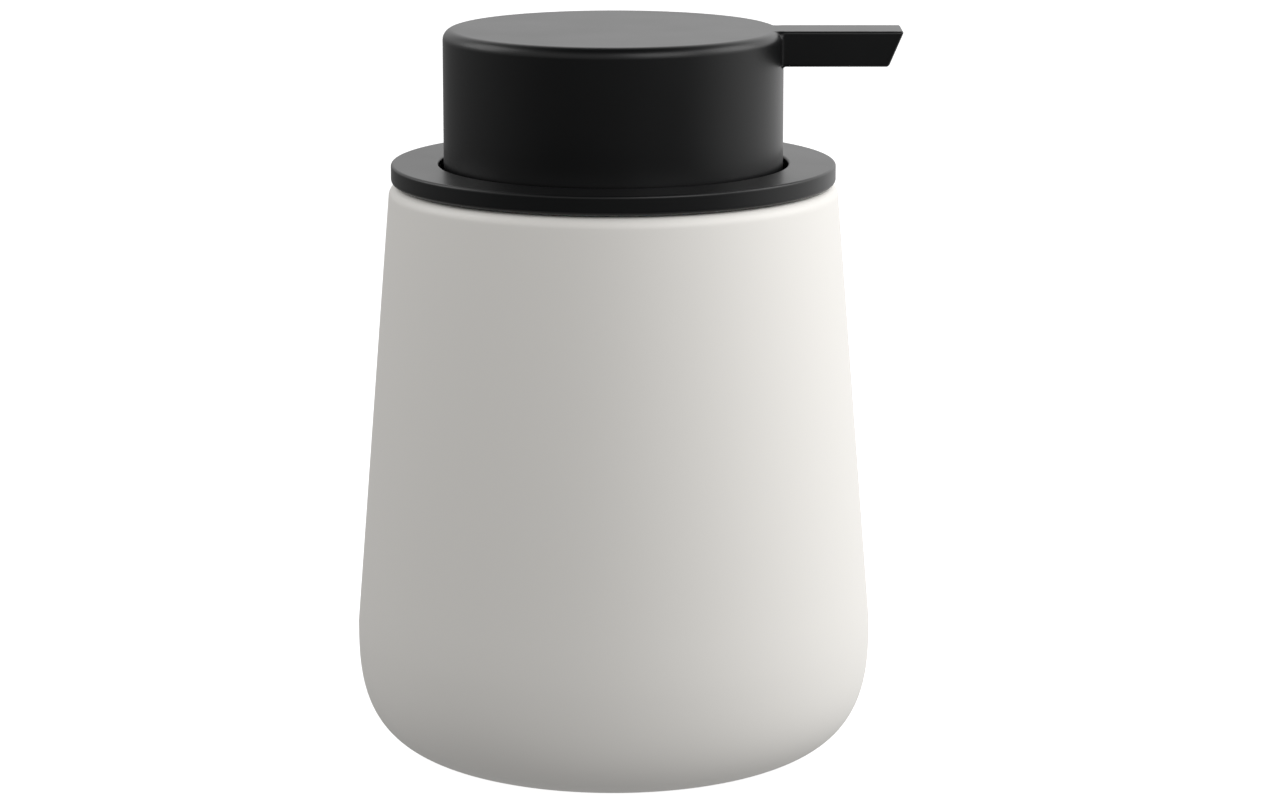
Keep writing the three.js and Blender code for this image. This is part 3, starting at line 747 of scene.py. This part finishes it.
class DISPENSER_OT_closure(bpy.types.Operator):
    """Screw closure with a fluted grip, and the gasket under it"""

    bl_idname = "dispenser.closure"
    bl_label = "Closure and gasket"

    def execute(self, context):
        size = context.scene.dispenser_pump
        span, gasket = Span("closure_nut"), Span("neck_gasket")
        bore, plate = 12.8 * MM, span.high - 1.4 * MM
        hole = Span("stem_guide").radius + EASY_FIT
        flutes, flute_depth = 24, 0.5 * MM
        thread_low = gasket.low - BED - NECK_THREAD + size.thread_pitch / 2
        corners = [
            (bore, span.low, 0.25 * MM), (span.radius, span.low, 0.4 * MM),
            (span.radius, span.high, 0.7 * MM), (hole, span.high, 0.25 * MM), (hole, plate, 0.12 * MM),
            (bore, plate, 0.3 * MM),
        ]
        profile = stepped(rounded(corners, steps=5), bore, CLOSURE_LEVELS)

        def relief(r, z, a):
            outward = np.clip((r - bore) / (span.radius - bore), 0, 1) ** 4
            flute = -flute_depth * (0.5 - 0.5 * np.cos(flutes * a)) * outward
            return np.where(np.abs(r - bore) < SAME, -thread_ridge(z, a, thread_low, size), flute)

        mesh = mesh_of("screw_closure", [turned(profile, BROAD_SIDES, widen=relief)])
        finish_piece(context, "screw_closure", mesh, "pump_unit", ["closure_nut"], "black_plastic",
                     satin_black)
        inner, soft = size.barrel_bore + size.barrel_wall + PUSH_FIT, 0.25 * MM
        corners = [(inner, gasket.low, soft), (gasket.radius, gasket.low, soft),
                   (gasket.radius, gasket.high, soft), (inner, gasket.high, soft)]
        turned_piece(context, "neck_seal_ring", corners, PUMP_SIDES, "pump_unit", ["neck_gasket"], "silicone",
                     milky_silicone)
        return {"FINISHED"}


class DISPENSER_OT_housing(bpy.types.Operator):
    """Pump barrel with its flange, inlet seat and tube socket, the stem guide and the ball cage"""

    bl_idname = "dispenser.housing"
    bl_label = "Housing, guide and cage"

    def execute(self, context):
        size = context.scene.dispenser_pump
        self.barrel(context, size)
        self.guide(context, size)
        self.cage(context, size)
        return {"FINISHED"}

    def barrel(self, context, size):
        span, tube, cage = Span("pump_housing"), Span("dip_tube"), Span("ball_cage")
        bore, outer = size.barrel_bore, size.barrel_bore + size.barrel_wall
        flange = span.high - 1.4 * MM
        foot = cage.low + 1.3 * MM
        chamber, seat = 4.0 * MM, 1.6 * MM
        seat_low = tube.high + 1.6 * MM
        seat_high = seat_low + (chamber - seat) * SEAT_SLOPE
        socket = tube.radius + BED
        wall = size.barrel_wall
        soft = 0.25 * MM
        corners = [
            (socket, span.low, soft), (socket + wall, span.low, soft),
            (socket + wall, seat_low - wall, soft), (chamber + wall, seat_high, 4 * soft),
            (chamber + wall, foot - 2 * wall, soft), (outer, foot, 3 * soft), (outer, flange, soft),
            (span.radius, flange, soft / 2), (span.radius, span.high, soft / 2), (bore, span.high, soft),
            (bore, foot, soft / 2), (chamber, foot, soft / 2), (chamber, seat_high, soft / 2),
            (seat, seat_low, soft / 2), (seat, tube.high + BED, 0), (socket, tube.high + BED, 0),
        ]
        turned_piece(context, "pump_barrel", corners, PUMP_SIDES, "pump_unit", ["pump_housing"],
                     "clear_plastic", milky_plastic, 4)

    def guide(self, context, size):
        span = Span("stem_guide")
        bore, plug = 4.2 * MM, size.barrel_bore - PUSH_FIT
        flange = Span("pump_housing").high + BED
        step, tower = flange + 1.7 * MM, 5.6 * MM
        soft = 0.2 * MM
        corners = [
            (bore, span.low, soft), (plug, span.low, soft), (plug, flange, soft), (span.radius, flange, soft),
            (span.radius, step, 2 * soft), (tower, step, soft), (tower, span.high, 2 * soft),
            (bore, span.high, 2 * soft),
        ]
        turned_piece(context, "stem_guide_bush", corners, PUMP_SIDES, "pump_unit", ["stem_guide"],
                     "white_plastic", white_plastic, 4)

    def cage(self, context, size):
        span = Span("ball_cage")
        drop = 1.4 * MM
        step, bore, chamber = span.low + drop, 1.6 * MM, 3.8 * MM
        soft = 0.12 * MM
        corners = [
            (bore, span.low, soft), (chamber, span.low, soft), (chamber, step, soft),
            (span.radius, step, soft), (span.radius, span.high, 2 * soft), (bore, span.high, 2 * soft),
        ]
        half = 0.75 * MM
        slot = block((-5 * MM, -half, span.low - MM), (5 * MM, half, step - BED))
        mesh = mesh_of("spring_seat", [turned(rounded(corners, steps=3), SMALL_SIDES)])
        mesh = carved(mesh, cut=[slot, spun(slot, math.pi / 2)])
        finish_piece(context, "spring_seat", mesh, "pump_unit", ["ball_cage"], "white_plastic", white_plastic)


class DISPENSER_OT_dip_tube(bpy.types.Operator):
    """Dip tube with a slanted lower end"""

    bl_idname = "dispenser.dip_tube"
    bl_label = "Dip tube"

    def execute(self, context):
        span = Span("dip_tube")
        bore, soft, slope, slanted = 2.2 * MM, 0.15 * MM, math.tan(0.5), 6 * MM
        low = span.low + 0.05 * MM
        corners = [(bore, low, soft), (span.radius, low, soft), (span.radius, span.high, soft),
                   (bore, span.high, soft)]

        def slant(r, z, a):
            return slope * (span.radius + r * np.cos(a)) * np.clip(1 - (z - low) / slanted, 0, 1)

        mesh = mesh_of("slanted_dip_tube", [turned(rounded(corners, steps=4), PUMP_SIDES, lift=slant)])
        finish_piece(context, "slanted_dip_tube", mesh, "pump_unit", ["dip_tube"], "clear_plastic",
                     milky_plastic)
        return {"FINISHED"}


class DISPENSER_OT_spring(bpy.types.Operator):
    """Return spring with closed ends"""

    bl_idname = "dispenser.spring"
    bl_label = "Return spring"

    def execute(self, context):
        span, size = Span("return_spring"), context.scene.dispenser_pump
        wire, turns = size.spring_wire, 6
        radius = 4.6 * MM
        closed = 1 / turns
        rise = 2 * wire + BED
        length = span.high - span.low
        free = length - 2 * wire - 2 * rise

        def height(t):
            first = np.clip(t / closed, 0, 1)
            middle = np.clip((t - closed) / (1 - 2 * closed), 0, 1)
            last = np.clip((t - 1 + closed) / closed, 0, 1)
            return span.low + wire + rise * (first + last) + free * middle

        path, across, outward = helix(radius, height, turns, turns * COIL_STEPS)
        mesh = mesh_of("coil_spring", [carried(path, across, outward, WIRE_SIDES, wire)])
        piece = finish_piece(context, "coil_spring", mesh, "pump_unit", ["return_spring"], "stainless_steel",
                             bright_steel)
        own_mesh(piece)
        return {"FINISHED"}


class DISPENSER_OT_balls(bpy.types.Operator):
    """The two valve balls"""

    bl_idname = "dispenser.balls"
    bl_label = "Valve balls"

    def execute(self, context):
        for name, node in (("inlet_valve_ball", "inlet_ball"), ("outlet_valve_ball", "outlet_ball")):
            span = Span(node)
            radius = (span.high - span.low) / 2
            a = np.linspace(-np.pi / 2, np.pi / 2, 33)
            profile = np.stack([radius * np.cos(a), span.low + radius + radius * np.sin(a)], 1)
            mesh = mesh_of(name, [turned(profile, SMALL_SIDES, closed=False)])
            finish_piece(context, name, mesh, node, [node], "stainless_steel", bright_steel)
        return {"FINISHED"}


class DISPENSER_OT_stem(bpy.types.Operator):
    """Hollow stem, and the piston and the hollow rivet that holds it"""

    bl_idname = "dispenser.stem"
    bl_label = "Stem, rod and piston"

    def execute(self, context):
        size = context.scene.dispenser_pump
        stem, rod, seal = Span("stem"), Span("piston_rod"), Span("piston_seal")
        rod_radius, rod_bore, socket = 1.8 * MM, 1.0 * MM, 2.0 * MM
        chamber, seat_low = 2.8 * MM, stem.high - 7 * MM
        seat_high = seat_low + (chamber - size.stem_bore) * SEAT_SLOPE
        soft = 0.12 * MM
        corners = [
            (socket, stem.low, soft), (stem.radius, stem.low, 2 * soft), (stem.radius, stem.high, 2 * soft),
            (chamber, stem.high, 2 * soft), (chamber, seat_high, soft), (size.stem_bore, seat_low, soft),
            (size.stem_bore, rod.high + BED, 0), (socket, rod.high + BED, 0),
        ]
        turned_piece(context, "hollow_stem", corners, PUMP_SIDES, "stem", ["stem"], "white_plastic",
                     white_plastic, 4)
        flange = rod.low + 1.4 * MM
        corners = [
            (rod_bore, rod.low, soft), (rod.radius, rod.low, 2 * soft), (rod.radius, flange, 2 * soft),
            (rod_radius, flange, soft), (rod_radius, rod.high, 2 * soft), (rod_bore, rod.high, 2 * soft),
        ]
        turned_piece(context, "piston_rivet", corners, SMALL_SIDES, "stem", ["piston_rod"], "white_plastic",
                     white_plastic, 4)
        lip, inner = seal.radius, 2.0 * MM
        waist, reach = lip - 0.7 * MM, 1.1 * MM
        corners = [
            (inner, seal.low, soft), (waist, seal.low, soft), (lip, seal.low + 0.2 * reach, soft),
            (lip, seal.low + reach, 2 * soft), (waist, seal.low + 1.5 * reach, 2 * soft),
            (waist, seal.high - 1.5 * reach, 2 * soft), (lip, seal.high - reach, 2 * soft),
            (lip, seal.high - 0.2 * reach, soft), (waist, seal.high, soft), (inner, seal.high, soft),
        ]
        turned_piece(context, "piston_lip_seal", corners, PUMP_SIDES, "stem", ["piston_seal"],
                     "clear_plastic", milky_plastic, 3)
        return {"FINISHED"}


class DISPENSER_OT_nozzle_core(bpy.types.Operator):
    """Inner nozzle: a socket on the stem's top and a tube into the spout"""

    bl_idname = "dispenser.nozzle_core"
    bl_label = "Nozzle core"

    def execute(self, context):
        span, stem = Span("nozzle_core"), Span("stem")
        tube_bore, well = 0.85 * MM, 1.2 * MM
        level = span.high - NOZZLE_TUBE - 0.05 * MM
        roof = stem.high + BED
        socket = stem.radius + PUSH_FIT
        soft = 0.4 * MM
        corners = [
            (0, roof, 0), (socket, roof, 0.1 * MM), (socket, span.low, soft), (span.radius, span.low, soft),
            (span.radius, span.high, soft), (0, span.high, 0),
        ]
        mesh = mesh_of("nozzle_socket", [turned(rounded(corners, closed=False), PUMP_SIDES, closed=False)])
        root = 3 * MM
        corners = [
            (0, root, 0), (NOZZLE_TUBE, root, 0), (NOZZLE_TUBE, span.reach, 0.2 * MM), (0, span.reach, 0),
        ]
        pipe = along_x(turned(rounded(corners, closed=False), SMALL_SIDES, closed=False), level)
        riser = shaft(well, roof - MM, level + 0.3 * MM, SMALL_SIDES)
        channel = along_x(shaft(tube_bore, 0, span.reach + MM, SMALL_SIDES), level)
        mesh = carved(mesh, add=[pipe], cut=[riser, channel])
        finish_piece(context, "nozzle_socket", mesh, "head", ["nozzle_core"], "white_plastic", white_plastic)
        return {"FINISHED"}


def cap_outline(radius, half, reach, corner, root):
    """Plan of the cap with its spout, anticlockwise from the +Y root: disc, root round, bar side, tip
    corner, tip, and the same mirrored. Returns points, outward normals, and 0 on the disc to 1 on the
    spout."""
    centre = math.sqrt((radius + root) ** 2 - (half + root) ** 2)
    start = math.atan2(half + root, centre)
    a = np.linspace(start, 2 * np.pi - start, DISC_STEPS + 1)
    disc = np.stack([np.cos(a), np.sin(a)], 1)
    b = np.linspace(math.pi - start, math.pi / 2, ROOT_STEPS + 1)[1:]
    inward = np.stack([np.cos(b), np.sin(b)], 1)
    root_points = np.array([centre, -half - root]) + root * inward
    along = np.array([0.0, 0.03, 0.25, 0.5, 0.75, 0.97, 1.0])[1:]
    bar_x = centre + (reach - corner - centre) * along
    bar = np.stack([bar_x, np.full(len(bar_x), -half)], 1)
    c = np.linspace(-math.pi / 2, 0, 8)[1:]
    tip_normal = np.stack([np.cos(c), np.sin(c)], 1)
    tip = np.array([reach - corner, corner - half]) + corner * tip_normal
    flat_y = np.array([-0.95, -0.5, 0.0]) * (half - corner)
    flat = np.stack([np.full(3, reach), flat_y], 1)
    lower = np.concatenate([root_points, bar, tip, flat])
    normals = np.concatenate([-inward, np.tile([0.0, -1.0], (len(bar), 1)), tip_normal,
                              np.tile([1.0, 0.0], (3, 1))])
    share = np.concatenate([np.linspace(0, 1, ROOT_STEPS + 1)[1:], np.ones(len(bar) + len(tip) + 3)])
    mirror = [1, -1]
    points = np.concatenate([disc * radius, lower, (lower[:-1] * mirror)[::-1]])
    outward = np.concatenate([disc, normals, (normals[:-1] * mirror)[::-1]])
    spout = np.concatenate([np.zeros(len(disc)), share, share[:-1][::-1]])
    return points, outward, spout * spout * (3 - 2 * spout)


class DISPENSER_OT_cap(bpy.types.Operator):
    """The pressed cap with its flat spout in one skin, hollow below, with ribs and a ring for the core"""

    bl_idname = "dispenser.cap"
    bl_label = "Cap and spout"

    def execute(self, context):
        span, size = Span("pump_cap"), context.scene.dispenser_cap
        core = Span("nozzle_core")
        mesh = mesh_of("cap_with_spout", [self.skin(span, size, core)])
        mesh = carved(mesh, add=self.ribs(span, size, core), cut=self.ducts(span, size, core))
        finish_piece(context, "cap_with_spout", mesh, "head", ["pump_cap"], "black_plastic", satin_black)
        return {"FINISHED"}

    def skin(self, span, size, core):
        """Rows of points from the top's middle over the rim, down the side and round the underside. On the
        spout's columns the rows turn in under it and meet the cap's side. On the others they run straight
        down."""
        radius, top = span.radius, span.high
        plan, outward, spout = cap_outline(
            radius, size.spout_width / 2, span.reach, size.tip_round, size.root_round)
        w = spout[:, None]
        edge = size.rim_round + (size.spout_edge - size.rim_round) * w
        under = top - size.spout_height
        bearing = np.arctan2(plan[:, 1], plan[:, 0])
        widest = np.abs(bearing[spout > 0]).max()
        spread = np.interp(np.arange(len(plan)), *self.spout_columns(spout))
        bearing = np.where(spout > 0, spread * widest, bearing)
        ray = np.stack([np.cos(bearing), np.sin(bearing)], 1)
        lean = size.spout_slant / size.spout_height
        root_x = radius + MM

        def level(inset, z):
            flat = plan - outward * inset
            far = np.clip((flat[:, :1] - root_x) / (span.reach - root_x), 0, None) * (w > 0)
            x = flat[:, :1] - lean * (top - z) * far
            return np.concatenate([x, flat[:, 1:], np.broadcast_to(z, w.shape)], 1)

        def round_ring(r, z):
            return np.concatenate([ray * r, np.full(w.shape, z)], 1)

        rows = [level(edge + 0.1 * MM, top)]
        for t in np.linspace(0, np.pi / 2, RIM_STEPS + 1):
            rows.append(level(edge * (1 - math.sin(t)), top - edge * (1 - math.cos(t))))
        rows.append(level(0 * w, top - edge - SUPPORT))
        hem = size.spout_edge
        for z in np.linspace(top - size.rim_round - 2 * SUPPORT, under + hem + SUPPORT, 4):
            rows.append(level(0 * w, z))
        for t in np.linspace(0, np.pi / 2, ROUND_STEPS + 1):
            rows.append(level(w * hem * (1 - math.cos(t)), under + hem * (1 - math.sin(t))))
        brink = rows[-1]
        fillet = size.root_round
        landing = round_ring(radius + fillet, under)
        fall = 0.0
        for share in (0.04, 0.35, 0.7, 1.0):
            fall += 0.05 * MM
            shelf = brink + (landing - brink) * share
            rows.append((1 - w) * round_ring(radius, under - fall) + w * shelf)
        for t in np.linspace(0, np.pi / 2, ROUND_STEPS + 1)[1:]:
            fall += 0.08 * MM
            curve = round_ring(radius + fillet * (1 - math.sin(t)), under - fillet * (1 - math.cos(t)))
            rows.append((1 - w) * round_ring(radius, under - fall) + w * curve)
        inner = radius - size.wall
        ceiling = top - size.top
        grip = core.radius + PUSH_FIT
        grip_out, grip_low, soft = grip + 1.2 * MM, ceiling - 4 * MM, 0.3 * MM
        below = rounded([
            (radius, under - fall - MM, 0), (radius, span.low, size.foot_round),
            (inner, span.low, size.foot_round), (inner, ceiling, 0.8 * MM), (grip_out, ceiling, soft),
            (grip_out, grip_low, soft), (grip, grip_low, soft), (grip, ceiling, 0.1 * MM),
            (0.5 * MM, ceiling, 0),
        ], closed=False)
        rows += [round_ring(r, z) for r, z in below]
        points = np.concatenate(rows)
        columns = len(plan)
        faces = grid_faces(len(rows), columns, False)[:, ::-1].tolist()
        last = (len(rows) - 1) * columns
        return points, faces + [list(range(columns)), list(range(last, last + columns))[::-1]]

    def spout_columns(self, spout):
        """Places along the outline, and the share of the way across the spout's root at each: -1 where the
        spout begins, 1 where it ends. The soft corners take up what lies beyond the bar."""
        on = np.nonzero(spout > 0)[0]
        first, last = on[0], on[-1]
        bar = 0.72
        return [first - 1, first + ROOT_STEPS, last - ROOT_STEPS, last + 1], [-1.0, -bar, bar, 1.0]

    def ribs(self, span, size, core):
        """Six ribs under the top, between the core's ring and the skirt."""
        ceiling = span.high - size.top
        start, end = core.radius + 1.0 * MM, span.radius - size.wall + 0.5 * MM
        count, half, depth, root = 6, 0.5 * MM, 2.6 * MM, 0.5 * MM
        rib = block((start, -half, ceiling - depth), (end, half, ceiling + root))
        return [spun(rib, 2 * math.pi * (k + 0.5) / count) for k in range(count)]

    def ducts(self, span, size, core):
        """The stepped bore for the core's tube and the spout's mouth, with a small countersink."""
        ceiling = span.high - size.top
        level = core.high - NOZZLE_TUBE
        channel, seat = NOZZLE_TUBE + PUSH_FIT, core.reach + BED
        mouth_x = span.reach - size.spout_slant * (span.high - level) / size.spout_height
        sink, past = mouth_x - 0.6 * MM, mouth_x + 2.4 * MM
        bore = np.array([
            [0, core.radius], [channel, core.radius], [channel, seat], [size.mouth, seat],
            [size.mouth, sink], [size.mouth + 1.2 * MM, past], [0, past],
        ])
        half = 0.9 * channel
        notch = block((0, -half, ceiling - 5 * MM), (core.radius + 2.2 * MM, half, ceiling - BED))
        return [notch, along_x(turned(bore, SMALL_SIDES, closed=False), level)]


# ------------------------------------------------------------------ studio
class StudioSettings(bpy.types.PropertyGroup):
    """Camera and light."""

    distance: size_prop("Distance", "From the lens to the axis, level", 600.0)
    aside: size_prop("Aside", "Lens to the right of the axis", 3.4)
    height: size_prop("Height", "Lens above the floor", 182.8)
    pitch: bpy.props.FloatProperty(
        name="Pitch", description="Tilt below level", default=0.209, subtype="ANGLE"
    )
    lens: bpy.props.FloatProperty(name="Lens", description="Focal length", default=111.8, unit="CAMERA")
    key: power_prop("Key", "Softbox at the right", 0.724)
    front: power_prop("Front", "Softbox over the camera's right side", 0.874)
    left: power_prop("Left", "Softbox at the left", 0.592)
    ring: share_prop("Ring", "Tent all round, above the horizon", 0.775)
    wing: share_prop("Wing", "Extra at the right, above the horizon", 0.69)
    low_right: share_prop("Low right", "Table's light from the right, just below the horizon", 0.963)
    low_left: share_prop("Low left", "Table's light from the left, just below the horizon", 0.19)
    table: share_prop("Table", "Table's light from straight below", 0.44)
    glow: share_prop("Glow", "How much the table glows", 0.85)


LIT_POINT = Vector((0, 0, 0.07))  # what the softboxes are turned to
SOFTBOXES = {  # place and width of each
    "key": ((0.4, 0.02, 0.32), 0.28),
    "front": ((0.24, -0.34, 0.36), 0.32),
    "left": ((-0.38, 0.08, 0.32), 0.28),
}


class DISPENSER_OT_stage(bpy.types.Operator):
    """Glowing floor running up into a backdrop, a light tent, three softboxes and the camera"""

    bl_idname = "dispenser.stage"
    bl_label = "Studio"

    def execute(self, context):
        scene, studio = context.scene, context.scene.dispenser_studio
        self.floor(context)
        self.tent(scene, studio)
        for name, (place, width) in SOFTBOXES.items():
            self.softbox(scene, name + "_softbox", place, width, getattr(studio, name))
        scene.view_settings.view_transform = "Standard"
        camera = bpy.data.objects.new("camera", bpy.data.cameras.new("camera"))
        camera.data.lens = studio.lens
        camera.data.sensor_width = 36
        camera.data.clip_start = 0.01
        camera.location = (studio.aside, -studio.distance, studio.height)
        camera.rotation_euler = (math.pi / 2 - studio.pitch, 0, 0)
        scene.collection.objects.link(camera)
        scene.camera = camera
        return {"FINISHED"}

    def softbox(self, scene, name, place, width, power):
        """A square lamp at a place, turned to the upper part of the bottle and not itself in view."""
        lamp = bpy.data.lights.new(name, "AREA")
        lamp.size = width
        lamp.energy = power
        holder = bpy.data.objects.new(name, lamp)
        holder.location = place
        holder.rotation_euler = (LIT_POINT - Vector(place)).to_track_quat("-Z", "Y").to_euler()
        holder.visible_camera = False
        scene.collection.objects.link(holder)

    def tent(self, scene, studio):
        """Light from all round: a ring above the horizon, brighter at the right, and the table's below it."""
        world = bpy.data.worlds.new("light_tent")
        world.use_nodes = True
        sky = Nodes(world.node_tree, "Generated")
        x, y, z = sky.axes()
        above, overhead = sky.window(z, -0.16, 0.3), sky.window(z, 0.55, 0.95)
        below = 1 - sky.window(z, -0.7, -0.3)
        right, left = sky.window(y * 0.6 + x * 0.8, 0.1, 0.95), sky.window(y * 0.6 - x * 0.8, 0.1, 0.95)
        upper = studio.ring + right * studio.wing
        lower = right * studio.low_right + left * studio.low_left
        light = above * (1 - overhead) * upper + (1 - above) * (1 - below) * lower + below * studio.table
        background = world.node_tree.nodes["Background"]
        background.inputs["Color"].default_value = (1, 1, 1, 1)
        world.node_tree.links.new(light.socket, background.inputs["Strength"])
        scene.world = world

    def floor(self, context):
        """A round floor whose edge sweeps up all round: height is bend (1 - cos u) beyond the flat. It is a
        glowing table that only the camera sees, so the tent and the softboxes alone light the object."""
        base, white = tuple(context.scene.dispenser_colors.floor), (1, 1, 1)
        glow = context.scene.dispenser_studio.glow
        s = Shader("pale_floor", Specular_IOR_Level=0.1, Roughness=0.8, Emission_Strength=glow)
        tone = s.noise(0.4, 2)
        s.feed(Base_Color=s.tint(tone, shade(base, 0.99), shade(base, 1.01)),
               Emission_Color=s.tint(tone, shade(white, 0.99), rgba(white)))
        flat, bend, sides = 1.6, 0.9, 96
        u = np.linspace(0, np.pi / 2, 25)
        r = np.concatenate([[0.02, 0.3, 0.8], flat + bend * np.sin(u)])[:, None]
        z = np.concatenate([[0, 0, 0], bend * (1 - np.cos(u))])[:, None]
        a = np.linspace(0, 2 * np.pi, sides, endpoint=False)[None]
        points = np.stack([r * np.cos(a), r * np.sin(a), np.broadcast_to(z, (len(r), sides))], -1)
        faces = grid_faces(len(r), sides, False).tolist() + [list(range(sides))]
        mesh = bpy.data.meshes.new("studio_floor")
        mesh.from_pydata(points.reshape(-1, 3), [], faces)
        mesh.materials.append(s.material)
        mesh.shade_smooth()
        s.material.cycles.emission_sampling = "NONE"
        floor = bpy.data.objects.new("studio_floor", mesh)
        context.scene.collection.objects.link(floor)
        floor.visible_diffuse = False
        floor.visible_glossy = False
        floor.visible_shadow = False


# ------------------------------------------------------------------ add-on
class DISPENSER_PT_panel(bpy.types.Panel):
    """Lists the pieces and their settings"""

    bl_idname = "DISPENSER_PT_panel"
    bl_label = "Soap pump dispenser"
    bl_space_type = "VIEW_3D"
    bl_region_type = "UI"
    bl_category = "Dispenser"

    def draw(self, context):
        layout = self.layout
        for operator in OPERATORS:
            layout.operator(operator.bl_idname)
        for pointer in SETTINGS:
            box = layout.box()
            settings = getattr(context.scene, pointer)
            for name in settings.__annotations__:
                box.prop(settings, name)


OPERATORS = (
    DISPENSER_OT_stage,
    DISPENSER_OT_bottle,
    DISPENSER_OT_foot_pad,
    DISPENSER_OT_mouth_seal,
    DISPENSER_OT_collar,
    DISPENSER_OT_pump_well,
    DISPENSER_OT_closure,
    DISPENSER_OT_housing,
    DISPENSER_OT_dip_tube,
    DISPENSER_OT_spring,
    DISPENSER_OT_balls,
    DISPENSER_OT_stem,
    DISPENSER_OT_nozzle_core,
    DISPENSER_OT_cap,
)
SETTINGS = {
    "dispenser_colors": DispenserColors,
    "dispenser_bottle": BottleSizes,
    "dispenser_cap": CapSizes,
    "dispenser_pump": PumpSizes,
    "dispenser_studio": StudioSettings,
}


def register():
    for group in (*SETTINGS.values(), *OPERATORS, DISPENSER_PT_panel):
        bpy.utils.register_class(group)
    for pointer, group in SETTINGS.items():
        setattr(bpy.types.Scene, pointer, bpy.props.PointerProperty(type=group))


def unregister():
    for pointer in SETTINGS:
        delattr(bpy.types.Scene, pointer)
    for group in (DISPENSER_PT_panel, *OPERATORS[::-1], *SETTINGS.values()):
        bpy.utils.unregister_class(group)


def main():
    register()
    for operator in OPERATORS:
        group, name = operator.bl_idname.split(".")
        getattr(getattr(bpy.ops, group), name)()


if __name__ == "__main__":
    main()
